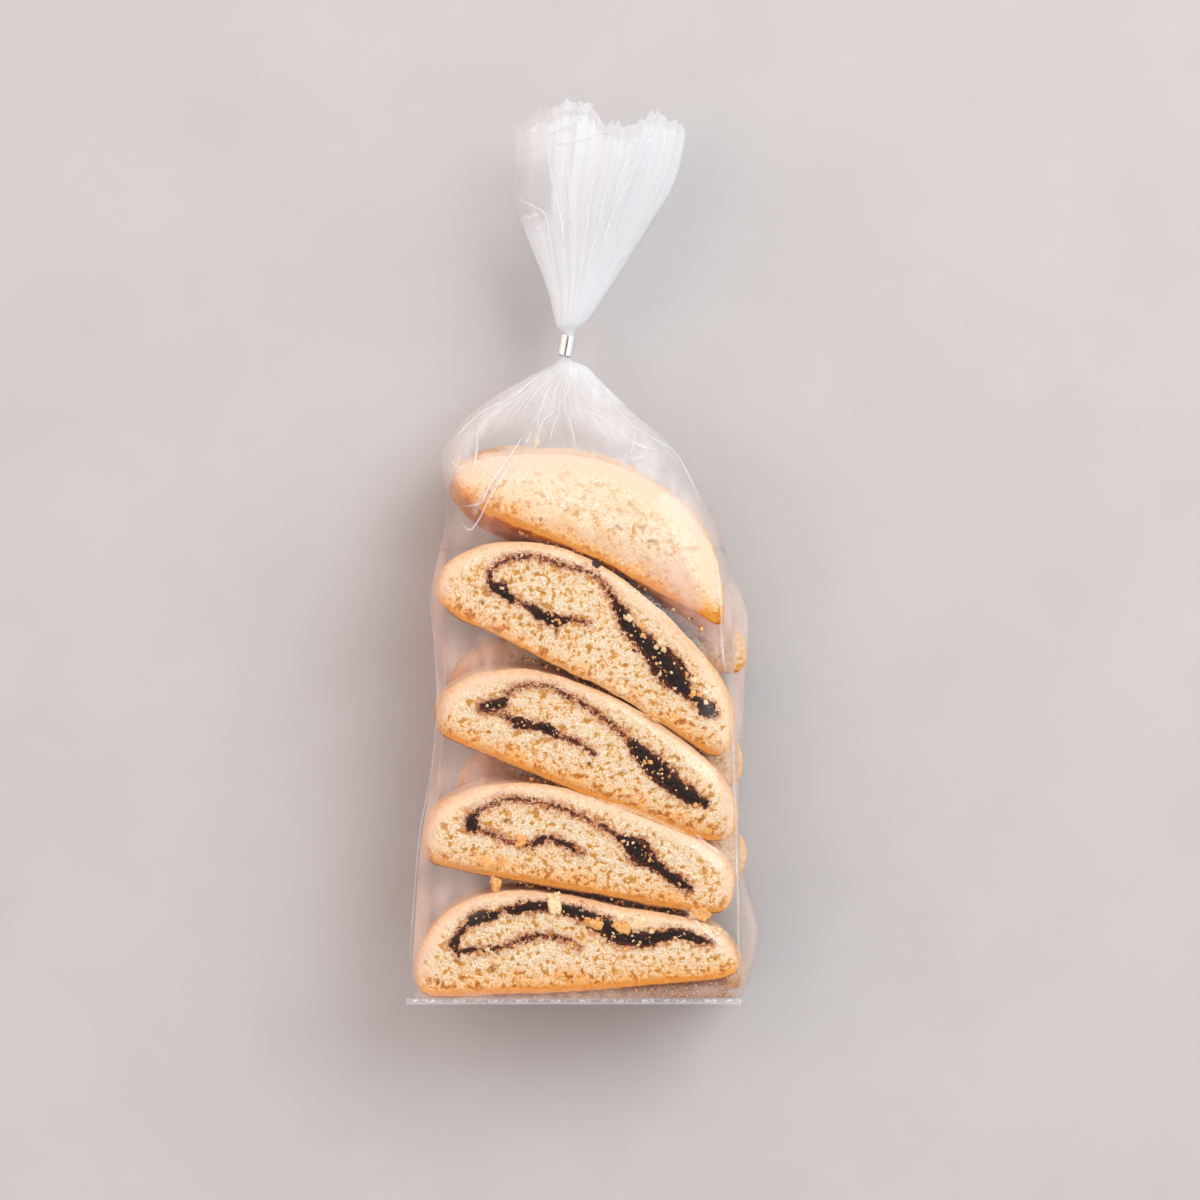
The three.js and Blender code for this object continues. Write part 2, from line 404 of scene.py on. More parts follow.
def cut_face(f, fine, grain, pocks, lumps, drift):
    """The colour of a cut face without its jam, and how hollow its crumb is."""
    edge, height, skin, end = (f.painted(mark) for mark in ("edge", "height", "skin", "end"))
    crumb = f.blend(fine.between(0.44, 0.57), (0.73, 0.52, 0.29), (0.94, 0.845, 0.68))
    crumb = f.blend(end * 0.45, crumb, (0.93, 0.82, 0.66))
    crumb = f.blend(drift.between(0.44, 0.60) * 0.35, crumb, (0.86, 0.60, 0.33))

    # Towards the base it is more golden, in patches.
    gold = (height + (grain - 0.5) * 12 + (drift - 0.5) * 14).between(7.5, 0.8)
    toasty = gold * (grain.between(0.42, 0.56) * 0.58 + 0.38)
    crumb = f.blend(toasty, crumb, (0.84, 0.40, 0.055))

    # Pores are golden, and darker brown further in: partly the crumb's own tone and partly painted shade in
    # the hollows. The end slice has paler ones.
    hollow = pocks + (lumps - 0.5) * 0.45 + f.painted("pore") * 0.11 + gold * 0.035 - skin * 0.10
    pit = hollow.between(0.54, 0.59)
    yellow = f.blend(end, (0.71, 0.385, 0.06), (0.78, 0.57, 0.33))
    crumb = f.blend(pit * (0.8 - end * 0.2), crumb, f.blend(gold, yellow, (0.72, 0.235, 0.010)))
    deep_pore_shade = f.blend(gold, (0.48, 0.22, 0.025), (0.38, 0.09, 0.005))
    deep_pore_shade = f.blend(end * (1 - gold), deep_pore_shade, (0.62, 0.40, 0.20))
    crumb = f.blend(hollow.between(0.59, 0.65) * (0.85 - end * 0.35), crumb, deep_pore_shade)
    flecks = f.noise(0.75, 2.0, 0.5) + (drift - 0.5) * 0.5 + gold * 0.04 - skin * 0.03
    flecks = flecks.between(0.635, 0.67) * (0.8 - end * (1 - gold) * 0.5)
    crumb = f.blend(flecks, crumb, (0.66, 0.25, 0.02))

    # A smooth skin under the crown, a golden rim, and a browned line along the base.
    crumb = f.blend(skin * 0.7, crumb, f.blend(drift, (0.83, 0.555, 0.35), (0.92, 0.72, 0.53)))
    rim = (edge + (grain - 0.5) * 4).between(1.6, 0.0) * 0.75
    crumb = f.blend(rim, crumb, (0.78, 0.40, 0.15))
    baked = (height + (grain - 0.5) * 7 + (fine - 0.5) * 3).between(3.2, 1.0) * edge.between(3.2, 1.2)
    crumb = f.blend(baked * 0.85, crumb, (0.72, 0.26, 0.02))
    burnt = (edge + (fine - 0.5) * 1.0).between(0.5, 0.2) * height.between(1.8, 0.9)
    return f.blend(burnt * 0.9, crumb, (0.20, 0.045, 0.008)), hollow


def brown_crust(f, fine):
    """The colour of the crust: pale golden over the crown and orange brown underneath, with painted shade
    darkening the underside towards the back cut face.
    """
    height = f.painted("height")
    blotches = f.noise(5.0, 4.0, 0.65)
    crust = f.blend(blotches.between(0.35, 0.65), (0.56, 0.26, 0.09), (0.74, 0.43, 0.20))
    crust = f.blend(fine.between(0.5, 0.7) * 0.35, crust, (0.78, 0.53, 0.29))
    crust = f.blend(height.between(3.0, 9.0) * 0.75, crust, (0.84, 0.57, 0.34))
    under = f.blend(blotches.between(0.4, 0.6), (0.54, 0.125, 0.008), (0.80, 0.29, 0.025))
    # Painted shade: the underside crust darkens towards the back cut face, down in the gaps between the
    # slices.
    under = f.blend(f.painted("behind").between(0.15, 0.7) * 0.6, under, (0.28, 0.05, 0.006))
    return f.blend(height.between(2.6, 0.4), crust, under)


def jam_stained(f, shade, fine, grain, pocks, lumps, drift):
    """The colour with jam soaked in round the swirl, whose edge follows the grains."""
    jam, thin = f.painted("jam"), f.painted("thin")
    soaked = jam.between(-2.8, -0.3) * lumps.between(0.46, 0.56) * 0.5
    stain = f.blend(drift.between(0.4, 0.6), (0.62, 0.28, 0.11), (0.60, 0.34, 0.27))
    shade = f.blend(soaked, shade, stain)
    grainy = jam + (fine - 0.5) * 9.0 + (grain - 0.5) * 5.0
    shade = f.blend(grainy.between(-1.0, -0.25) * 0.8, shade, (0.42, 0.115, 0.035))
    ragged = jam + (fine - 0.5) * 3.0 + (grain - 0.5) * 4.5 + (0.5 - pocks) * 1.5
    line = f.blend(thin, (0.13, 0.028, 0.012), (0.20, 0.045, 0.020))
    shade = f.blend(ragged.between(-0.3, 0.15), shade, line)
    core = f.blend(thin, (0.008, 0.002, 0.0015), (0.08, 0.018, 0.010))
    return f.blend(ragged.between(0.2, 0.6), shade, core)


def baked_dough():
    """Dry pale crumb with golden pores on the cut faces, and a golden brown crust round them."""
    f = Finish(bpy.data.materials.new("baked_dough"))
    fine = f.noise(0.42, 3.0, 0.65)
    grain = f.noise(1.1, 3.0, 0.65)
    pocks = f.noise(1.7, 4.0, 0.62)
    lumps = f.noise(2.6, 2.0, 0.5)
    drift = f.noise(7.0, 2.0, 0.5)
    crumb, hollow = cut_face(f, fine, grain, pocks, lumps, drift)
    shade = f.blend(f.painted("side"), crumb, brown_crust(f, fine))
    shade = jam_stained(f, shade, fine, grain, pocks, lumps, drift)
    relief = fine * 0.7 + grain * 0.3 - hollow * 1.2
    inputs = {"Base Color": shade, "Roughness": 0.85, "Normal": f.bump(relief, 0.45)}
    inputs["Specular IOR Level"] = 0.25
    return f.shown(f.node("ShaderNodeBsdfPrincipled", {}, inputs))


def dark_jam():
    """Thick fruit jam: nearly black, red brown where it is thin, wet here and dry there."""
    f = Finish(bpy.data.materials.new("dark_jam"))
    lumps = f.noise(0.8, 4.0, 0.6)
    deep = f.blend(lumps.between(0.4, 0.7), (0.005, 0.002, 0.0015), (0.026, 0.007, 0.004))
    shade = f.blend(f.painted("thin") * lumps.between(0.36, 0.56), deep, (0.15, 0.03, 0.014))
    inputs = {"Base Color": shade, "Normal": f.bump(lumps, 0.5), "Specular IOR Level": 0.16}
    inputs["Roughness"] = f.noise(1.6).between(0.35, 0.65) * 0.4 + 0.32
    return f.shown(f.node("ShaderNodeBsdfPrincipled", {}, inputs))


def loose_crumb(name, pale, dark):
    """Dry crumbs, each a little different."""
    f = Finish(bpy.data.materials.new(name))
    grain = f.noise(0.7, 3.0, 0.6)
    shade = f.blend(grain.between(0.35, 0.65), dark, pale)
    inputs = {"Base Color": shade, "Roughness": 0.8, "Normal": f.bump(grain, 0.2)}
    return f.shown(f.node("ShaderNodeBsdfPrincipled", {}, inputs))


def clear_film():
    """Thin clear glossy film. It mirrors more at a slant, and its creases are whitish. Where the film lies
    over the slices its haze is painted warm, as bounce light from them.
    """
    f = Finish(bpy.data.materials.new("clear_film"))
    facing = f.node("ShaderNodeLayerWeight", {}, {"Blend": 0.5}, "Facing")
    normal = f.bump(f.noise(3.5, 3.0, 0.6), 0.25)
    clear = f.node("ShaderNodeBsdfTransparent", {}, {"Color": (1, 1, 1, 1)})
    gloss = f.node("ShaderNodeBsdfGlossy", {}, {"Roughness": 0.12, "Normal": normal})
    # The haze is cool white, and peach where the warm mark is: painted bounce light from the slices.
    tint = f.blend(f.painted("warm"), (0.89, 0.93, 0.965), (0.95, 0.74, 0.65))
    haze = f.node("ShaderNodeBsdfPrincipled", {}, {"Base Color": tint, "Roughness": 0.4})
    through_light = f.node("ShaderNodeBsdfTranslucent", {}, {"Color": (0.90, 0.93, 0.96, 1)})
    cloudy = f.node("ShaderNodeMixShader", {}, {0: 0.3, 1: haze, 2: through_light})
    mirror = (facing**4 * 0.30 + 0.018).clipped()
    bright = f.node("ShaderNodeMixShader", {}, {0: mirror, 1: clear, 2: gloss})
    veil = (f.painted("veil") + facing**3 * 0.07).clipped()
    return f.shown(f.node("ShaderNodeMixShader", {}, {0: veil, 1: bright, 2: cloudy}))


def bright_metal():
    """Bare bright strip metal with faint rub marks from crimping."""
    f = Finish(bpy.data.materials.new("bright_metal"))
    rubs = f.noise(0.5, 3.0)
    inputs = {"Base Color": (0.76, 0.76, 0.775, 1), "Metallic": 1.0}
    inputs["Roughness"] = rubs * 0.2 + 0.4
    inputs["Normal"] = f.bump(rubs, 0.03)
    return f.shown(f.node("ShaderNodeBsdfPrincipled", {}, inputs))


# The front layer, from the neck down. An outline runs round the cut face from the left end over
# the crown. The base is the flat underside of the loaf. The back face is shifted by lean.
# Each stop on a jam route is a place and the width of the jam there, and crumbs is the share of
# the usual crumbs that lie on it. The end slice also has a lean at its right end, a wider skin,
# and how deep and how far in its edge is rounded.
SLICES = {
    "slice_1": {
        "outline": [
            (-33.5, 149), (-32.5, 152), (-28.5, 154), (-21.5, 155.4), (-11.5, 156.2), (-1, 156),
            (9, 154.2), (19, 149.6), (29.4, 142.2), (36, 134.2), (40, 126), (41.8, 117),
            (42, 110.5), (40, 108), (34, 110.6), (26, 114.6), (17.8, 119.4), (9.5, 123.8),
            (1.1, 127.6), (-7.1, 131.2), (-15.4, 134.4), (-24, 138.2), (-31, 144),
        ],
        "base": ((-24, 138), (40, 107)),
        "lean": (-2.0, -4.4),
        "lean_right": (0.4, -8.0),
        "skin": 7.0,
        "round": (2.6, 3.6),
        "jam": [],
    },
    "slice_2": {
        "outline": [
            (-38.8, 116.5), (-37.5, 120.5), (-35, 124), (-28.3, 127.8), (-21.5, 129.3),
            (-13, 129.4), (-4.6, 128.2), (2.2, 125.6), (10.4, 121), (19, 115), (26, 109),
            (33, 101.2), (40, 93), (43.5, 86), (45, 79.5), (44, 73.5), (41.5, 70), (38, 70),
            (32.8, 73), (20.5, 81.4), (10.4, 87.5), (-6.7, 96), (-21.6, 103.2), (-32, 107.8),
            (-37, 112),
        ],
        "base": ((-33, 108.2), (38, 70)),
        "lean": (0, 0.3),
        "jam": [
            (4.2, 106.6, 0.4), (0, 107.6, 0.9), (-5.3, 107.6, 2.3), (-9, 109, 2.6),
            (-12, 110.8, 1.4), (-15.5, 112.8, 0.9), (-18.2, 114.1, 2.2), (-20.6, 116.2, 3.2),
            (-23, 117.6, 1.6), (-23.5, 120.3, 1.0), (-21.6, 122.8, 0.9), (-18.8, 124.5, 0.9),
            (-15.4, 125.3, 0.8), (-10.7, 125.3, 0.6), (-5.3, 123.9, 0.7), (-1, 122.4, 0.8),
            (2.8, 121.4, 0.6), (6.2, 120.3, 0.7), (8.4, 117.5, 1.0), (10.9, 114.1, 1.2),
            (13, 110.6, 2.2), (14.6, 107, 3.6), (17, 104, 4.0), (19.8, 101.4, 4.4),
            (22.4, 98.6, 5.6), (25, 95.4, 7.6), (27.8, 92.2, 7.0), (30.8, 88.8, 4.6),
            (34, 85.6, 1.8), (37.4, 82.8, 4.2), (38.8, 81.6, 2.6),
        ],
    },
    "slice_3": {
        "outline": [
            (-39.2, 79.8), (-38.4, 84), (-35, 88), (-28.3, 91.8), (-21.6, 93.4), (-14.5, 93.6),
            (-6.7, 92.4), (2.2, 89.4), (12.3, 85.4), (19, 81.6), (26, 77), (33, 72),
            (39.5, 66.2), (43.8, 60), (45.6, 54), (45, 49), (42.5, 46), (39, 45.5), (33, 46.9),
            (19, 52.2), (5.6, 57.6), (-8.1, 63), (-21.6, 68.6), (-34.5, 74), (-38, 76.6),
        ],
        "base": ((-35, 74.2), (39.5, 45.4)),
        "lean": (-0.6, 1.6),
        "jam": [
            (5.6, 70.4, 0.4), (2.2, 72.6, 0.7), (-2, 74.4, 0.8), (-4.8, 75.2, 1.4),
            (-7.8, 77.2, 2.2), (-11.5, 77.8, 1.4), (-14.9, 78.6, 2.0), (-18, 80.4, 1.1),
            (-22, 82, 0.7), (-26.4, 82.6, 0.8), (-23.4, 83.8, 2.2), (-20.4, 84.2, 2.2),
            (-19, 86.6, 0.8), (-16.6, 88.4, 0.8), (-12.6, 89.4, 0.7), (-8.6, 89.3, 0.5),
            (-4.8, 88, 0.7), (-1, 86.1, 0.7), (4.2, 83.2, 1.0), (9, 79.7, 0.7), (12.3, 77, 0.8),
            (15.7, 74, 1.3), (18, 71.2, 3.4), (21.4, 67.6, 5.2), (25, 64.2, 5.6), (28.6, 61, 5.0),
            (32, 58.6, 4.4), (35, 57.2, 3.0), (36.8, 56.4, 1.4),
        ],
    },
    "slice_4": {
        "crumbs": 0.3,
        "outline": [
            (-42.4, 46.6), (-41.6, 50.4), (-39, 54), (-34.8, 57.2), (-28.3, 60.2), (-21.6, 61.6),
            (-11.5, 61.8), (-1, 60.1), (9, 57.2), (19, 54), (26, 51), (33, 47.6), (40, 43),
            (44, 38.6), (45, 34), (43.8, 29), (41.6, 26), (38.5, 25.3), (33, 25.8), (19, 28.2),
            (5.6, 30.8), (-8.1, 33.2), (-18.2, 34.8), (-28.3, 36.6), (-38.5, 38.8), (-41.4, 42),
        ],
        "base": ((-38.5, 38.8), (38.5, 25.3)),
        "lean": (-0.5, 1.0),
        "jam": [
            (2.2, 42, 0.8), (0, 43.2, 1.3), (-2.8, 45, 1.5), (-6.2, 46.2, 1.4), (-9.5, 45.8, 1.6),
            (-13, 44.6, 1.1), (-16.6, 45, 0.6), (-20, 46.2, 0.6), (-23.4, 47.6, 0.9),
            (-26.6, 48.8, 0.8), (-28.8, 50.4, 2.8), (-28.4, 52.2, 2.0), (-26.4, 54.4, 1.0),
            (-23, 56.2, 0.9), (-18.2, 57.4, 0.8), (-12.1, 56.8, 0.6), (-6.7, 55.7, 0.7),
            (-1, 54, 0.7), (4.2, 51.6, 0.7), (9, 49.2, 0.9), (12, 47.2, 1.2), (14.6, 45.6, 3.2),
            (17.6, 43.4, 5.6), (20.2, 41.2, 5.2), (23, 38.8, 2.2), (26, 36.6, 1.8),
            (29.4, 34.2, 2.8), (31.8, 32.8, 1.8),
        ],
    },
    "slice_5": {
        "outline": [
            (-44.8, 9), (-44.4, 12.4), (-42.8, 16.6), (-39.6, 21.4), (-35, 25.8), (-28.3, 29.6),
            (-21.6, 31.2), (-14.9, 31.6), (-8.1, 31.2), (-1, 30), (12.3, 27.2), (26, 25),
            (35.5, 23), (41.5, 19.6), (45, 15), (46, 11.6), (45, 8.6), (41.5, 7), (33, 6.2),
            (26, 5.5), (12.3, 4.3), (-1, 3.3), (-21.6, 2.4), (-38.5, 2), (-42.8, 4),
        ],
        "base": ((-40, 2), (41.5, 7)),
        "lean": (0, 0.4),
        "jam": [
            (1.6, 15.6, 0.4), (-1, 17.8, 0.5), (-5.3, 18.9, 0.9), (-10, 19, 1.0),
            (-14.4, 18.2, 1.0), (-18.8, 16.3, 0.8), (-23, 15.1, 1.2), (-28, 15.2, 1.5),
            (-32.4, 14.6, 1.6), (-33.4, 16.6, 1.8), (-32.2, 19.6, 1.6), (-30, 22.4, 1.6),
            (-26.4, 24.2, 3.8), (-23.4, 24.8, 3.0), (-20, 26.2, 1.2), (-16, 26.4, 2.2),
            (-12, 27.4, 2.4), (-8, 27.6, 1.8), (-2.4, 26.8, 2.2), (1.4, 25.6, 3.2),
            (5.6, 23.6, 3.6), (9.5, 21, 4.8), (13.7, 19, 5.0), (18, 18.2, 4.2),
            (22.4, 18.4, 3.4), (27.2, 19.6, 2.8), (31.4, 19.2, 2.4), (35.3, 18, 1.6),
            (38.7, 17.2, 0.8),
        ],
    },
}
FRONT_LAYER = (23.6, 44.0)
BACK_LAYER = (1.4, 22.4)
FRONT_VOXEL = 0.36
BACK_VOXEL = 0.8

# The back layer is the same loaf: a front slice's shape, its middle, how far it is turned, its
# size and how far it is lifted, as it lies here.
BACK_SLICES = {
    "back_slice_1": ("slice_4", (1.5, 137), -16, 0.84, 2.6),
    "back_slice_2": ("slice_5", (6.6, 112), -16, 0.97, 0),
    "back_slice_3": ("slice_3", (7.5, 82), 4, 0.97, 0),
    "back_slice_4": ("slice_4", (8.5, 52), -6, 0.97, 0),
    "back_slice_5": ("slice_5", (4.8, 14.6), -6, 0.97, 0),
}

# Holes that show: on which slice, where, how wide, how tall and how deep.
HOLES = {
    "slice_1": [
        (12.2, 133.2, 3.6, 2.8, 1.2), (18.8, 133.8, 2.4, 3.6, 1.2), (21.6, 128.8, 3.0, 2.6, 1.2),
        (18.9, 124.4, 3.6, 2.2, 1.1), (2.8, 142.2, 2.6, 2.2, 1.2), (5.2, 140.4, 2.2, 2.2, 1.4),
        (-1.7, 142.4, 2.2, 1.6, 1.0), (-14.3, 143.6, 2.0, 2.4, 1.5), (-16.8, 140.4, 1.6, 1.4, 1.2),
        (-10.6, 139.9, 2.2, 1.6, 1.3), (-9.4, 135.6, 1.4, 1.2, 1.0),
    ],
    "slice_2": [(5.6, 123.4, 5.2, 3.0, 6), (-5, 104, 1.2, 4.2, 1.6), (-26, 112.6, 1.6, 1.6, 1.2)],
    "slice_3": [(-10.4, 92, 2.4, 3.0, 3), (4.4, 67.4, 2.4, 2.4, 2.2)],
    "slice_4": [(-20.6, 60.6, 3.4, 2.2, 2.4), (-19, 50.6, 3.4, 2.4, 1.8)],
    "slice_5": [(-23, 9.6, 2.0, 3.4, 1.6), (-33.4, 12, 2.2, 1.8, 1.4), (-38.6, 6, 2.4, 2.2, 1.4)],
}


def pores(outline, count, seed):
    """Random pores inside the outline: x, y, half width, half height and depth."""
    rng = np.random.default_rng(seed)
    low, high = outline.min(0), outline.max(0)
    spots = rng.uniform(low, high, (count * 3, 2))
    loop = np.concatenate((outline, outline[:1]))
    distance, _ = nearest(spots, loop)
    spots = spots[inside(spots, outline) & (distance > 1.6)][:count]
    size = 0.35 + 0.8 * rng.random(len(spots)) ** 3
    stretch = rng.uniform(0.55, 1.8, len(spots))
    return np.column_stack((spots, size * stretch, size / stretch, size * 0.45))


def inside(points, outline):
    """Which points are within the outline, by how often a line from each crosses it."""
    x, y = points[:, :1], points[:, 1:]
    ends = np.roll(outline, -1, axis=0)
    spans = (outline[None, :, 1] > y) != (ends[None, :, 1] > y)
    rise = np.where(ends[:, 1] == outline[:, 1], 1, ends[:, 1] - outline[:, 1])
    crossing = outline[:, 0] + (ends[:, 0] - outline[:, 0]) * (y - outline[:, 1]) / rise
    return (spans & (x < crossing)).sum(1) % 2 == 1


def pitting(points, pits, seed):
    """How deep the pits reach at each point, and how far inside a pit it is, 0 to 1."""
    depth, share = np.zeros(len(points)), np.zeros(len(points))
    level = np.column_stack((points, np.full(len(points), 3.0)))
    wobble = mottle(level, 1.6, seed) * 0.5 + mottle(level, 0.8, seed + 1) * 0.5
    for x, y, wide, tall, deep in pits:
        near = (abs(points[:, 0] - x) < wide * 2) & (abs(points[:, 1] - y) < tall * 2)
        across = np.hypot((points[near, 0] - x) / wide, (points[near, 1] - y) / tall)
        hollow = 1 - ease(0.2, 1.2, across + wobble[near])
        depth[near] = np.maximum(depth[near], deep * hollow)
        share[near] = np.maximum(share[near], hollow)
    return depth, share


def slice_block(outline, low, high, voxel, name):
    """A closed block of the outline's shape, with a fine, even mesh."""
    bm = bmesh.new()
    ring = bmesh.ops.create_circle(bm, cap_ends=True, radius=1, segments=len(outline))["verts"]
    for vert, (x, y) in zip(ring, outline):
        vert.co = (x, y, low)
    lifted = bmesh.ops.extrude_face_region(bm, geom=bm.faces[:])["geom"]
    front = [part for part in lifted if isinstance(part, bmesh.types.BMVert)]
    bmesh.ops.translate(bm, verts=front, vec=(0, 0, high - low))
    bmesh.ops.recalc_face_normals(bm, faces=bm.faces[:])
    return remeshed(bm, voxel, name)


def placed(points, layout):
    """Plan points of a front slice, turned, sized and moved to where a back slice lies."""
    if layout is None:
        return points
    source, middle, angle, size, _ = layout
    centre = np.array(SLICES[source]["outline"]).mean(0)
    turned = math.radians(angle)
    rotation = np.array([[math.cos(turned), -math.sin(turned)], [math.sin(turned), math.cos(turned)]])
    moved = points.copy()
    moved[:, :2] = (points[:, :2] - centre) @ rotation.T * size + middle
    return moved


def layer_of(layout):
    """The heights of a slice's back and front cut faces."""
    if layout is None:
        return FRONT_LAYER
    low, high = BACK_LAYER
    return low + layout[4], high


def jam_marks(spec, layout, places, seed):
    """For each point, how far inside the jam it is, how deep the jam lies and how thin it is."""
    if not spec["jam"]:
        return np.full(len(places), -3.0), np.zeros(len(places)), np.zeros(len(places))
    route = placed(jam_route(spec, layout, 200), layout)
    distance, where = nearest(places[:, :2], route[:, :2])
    half = np.interp(where, np.linspace(0, 1, len(route)), route[:, 2]) / 2
    jam = np.maximum(half - distance, -3)
    coarse = mottle(places, 2.2, seed + 6) * 0.8 + mottle(places, 0.9, seed + 7) * 0.9
    jam = jam + coarse * np.minimum(half * 0.7 + 0.1, 0.7)
    groove = ease(-0.2, 0.3, jam) * np.where(half > 0.7, np.minimum(half + 0.2, 1.0), 0.25)
    return jam, groove, ease(0.8, 0.35, half)


def outwards_from(outline, along):
    """The way straight out of the outline, on the plan, for points this far along it."""
    ahead = (along * len(outline)).astype(int) % len(outline)
    tangent = np.roll(outline, -1, axis=0)[ahead] - outline[ahead]
    tangent /= np.linalg.norm(tangent, axis=1)[:, None]
    return np.column_stack((-tangent[:, 1], tangent[:, 0]))


def make_slice(name, spec, layout, finish, seed):
    """One slice of the loaf, with pores and crumbs on its cut faces and a crust round it."""
    low, high = layer_of(layout)
    outline = placed(smooth_path(spec["outline"], True, 220), layout)
    base = placed(np.array(spec["base"], float), layout)
    mesh = slice_block(outline, low, high, FRONT_VOXEL if layout is None else BACK_VOXEL, name)
    places = places_of(mesh)
    plan = places[:, :2].copy()
    loop = np.concatenate((outline, outline[:1]))
    edge, along = nearest(plan, loop)
    step = (base[1] - base[0]) / np.linalg.norm(base[1] - base[0])
    height = (plan - base[0]) @ np.array([-step[1], step[0]])

    # Which side of the block a point is on: 1 on the front cut, -1 on the back cut.
    z = places[:, 2].copy()
    towards = ease(high - 0.7, high - 0.1, z) - ease(low + 0.7, low + 0.1, z)
    cut = np.abs(towards)

    pits = pores(outline, 170 if layout is None else 90, seed)
    if layout is None:
        pits = np.concatenate((pits, np.array(HOLES[name]) * [1, 1, 0.5, 0.5, 1]))
    depth, pore = pitting(plan, pits, seed + 1)
    jam, groove, thin = jam_marks(spec, layout, places, seed)
    crumb = mottle(places, 2.1, seed + 2) * 0.5 + mottle(places, 0.85, seed + 3) * 0.6
    skin_width = spec.get("skin", 3.4)
    patchy = mottle(places, 3.0, seed + 8) * 1.2
    skin = ease(skin_width * 1.3, skin_width * 0.5, edge + patchy) * ease(3.0, 8.0, height)
    smooth = 1 - skin * 0.8
    sink, reach = spec.get("round", (0.5, 0.35))
    rounding = sink * np.exp(-edge / reach) * mix(0.3, 1, ease(0, 6, height))
    places[:, 2] -= towards * ((depth + crumb * 0.2) * smooth + groove + rounding)

    # The crust swells and dips a little, with fine bumps on it.
    bumps = 0.12 + mottle(places, 7, seed + 4) * 0.3 + mottle(places, 1.5, seed + 5) * 0.16
    places[:, :2] += outwards_from(outline, along) * (bumps * ease(1.0, 0.0, edge))[:, None]

    # Its back face is shifted, and both faces slope a little.
    behind = (high - z) / (high - low)
    lean, lean_right = np.array(spec["lean"]), np.array(spec.get("lean_right", spec["lean"]))
    turn = ease(outline[:, 0].min(), outline[:, 0].max(), plan[:, 0])
    places[:, :2] += behind[:, None] * mix(lean, lean_right, turn[:, None])
    places[:, 2] += (plan @ tilt_of(seed) - outline.mean(0) @ tilt_of(seed))
    move_points(mesh, kept_inside(places, SLICE_GAP))

    # The left ends of the back layer, seen down in the gaps, take the colour of the dark underside crust:
    # partly crust and partly painted shade.
    crust_and_shade = 0 if layout is None else ease(-12, -24, plan[:, 0])
    end_slice = "round" in spec
    marks = {
        "edge": np.minimum(edge + 0.7 * end_slice, 9),
        "height": np.clip(height, 0, 12) * (1 - 0.86 * crust_and_shade) * (0.65 if end_slice else 1),
        "jam": np.where(cut > 0.5, jam, -3),
        "skin": skin,
        "pore": pore * cut,
        "thin": thin,
        # How far back from the front cut face; it also paints shade on the underside crust.
        "behind": behind,
        "end": np.full(len(plan), end_slice),
        "side": np.maximum(1 - cut, crust_and_shade),
    }
    for mark, values in marks.items():
        paint(mesh, mark, values)
    add_piece(name, mesh, finish)


def jam_route(spec, layout, count):
    """The jam's route on a front slice. In the back layer it keeps to the middle of the slice."""
    stops = spec["jam"] if layout is None else [stop for stop in spec["jam"] if -12 < stop[0] < 26]
    return smooth_path(stops, False, count)


def tilt_of(seed):
    """How a slice's faces slope, across and along the bag, for each millimetre."""
    return np.random.default_rng(seed).uniform(-0.009, 0.009, 2)


def make_jam(name, spec, layout, finish, seed):
    """The swirl of jam of one slice: a band that runs through it from cut face to cut face."""
    low, high = layer_of(layout)
    route = placed(jam_route(spec, layout, 420), layout)
    ahead = np.gradient(route[:, :2], axis=0)
    ahead /= np.linalg.norm(ahead, axis=1)[:, None]
    sideways = np.column_stack((-ahead[:, 1], ahead[:, 0]))
    bm = bmesh.new()
    bmesh.ops.create_grid(bm, x_segments=12, y_segments=len(route) - 1, size=1)
    grid = np.array([vert.co for vert in bm.verts])
    row = np.rint((grid[:, 1] + 1) / 2 * (len(route) - 1)).astype(int)
    across = grid[:, 0]
    half = route[row, 2] / 2 + 0.2
    plan = route[row, :2] + sideways[row] * (across * half)[:, None]
    level = np.column_stack((plan, half))
    lumps = mottle(level, 1.3, seed) + mottle(level, 0.6, seed + 1)
    dome = (1 - across**2) * np.minimum(half, 1.4) * 0.35 + lumps * np.minimum(half, 1.0) * 0.22
    dome -= 0.42 + 0.7 * ease(1.2, 0.7, half)
    for vert, (x, y), rise in zip(bm.verts, plan, dome):
        vert.co = (x, y, high + rise)
    back = bmesh.ops.extrude_face_region(bm, geom=bm.faces[:])["geom"]
    for vert in back:
        if isinstance(vert, bmesh.types.BMVert):
            vert.co.z = high + low - vert.co.z
    bmesh.ops.recalc_face_normals(bm, faces=bm.faces[:])
    mesh = mesh_of(bm, name)
    places = places_of(mesh)
    _, where = nearest(places[:, :2], route[:, :2])
    width = np.interp(where, np.linspace(0, 1, len(route)), route[:, 2])
    behind = (high - places[:, 2]) / (high - low)
    outline = placed(np.array(spec["outline"], float), layout)
    slope = places[:, :2] @ tilt_of(seed) - outline.mean(0) @ tilt_of(seed)
    places[:, :2] += behind[:, None] * np.array(spec["lean"])
    places[:, 2] += slope
    move_points(mesh, kept_inside(places, JAM_GAP))
    distance, _ = nearest(places[:, :2], route[:, :2])
    outer = ease(0.45, 0.95, distance / (width / 2 + 0.2))
    paint(mesh, "thin", np.maximum(ease(2.2, 0.7, width), outer))
    add_piece(name, mesh, finish)


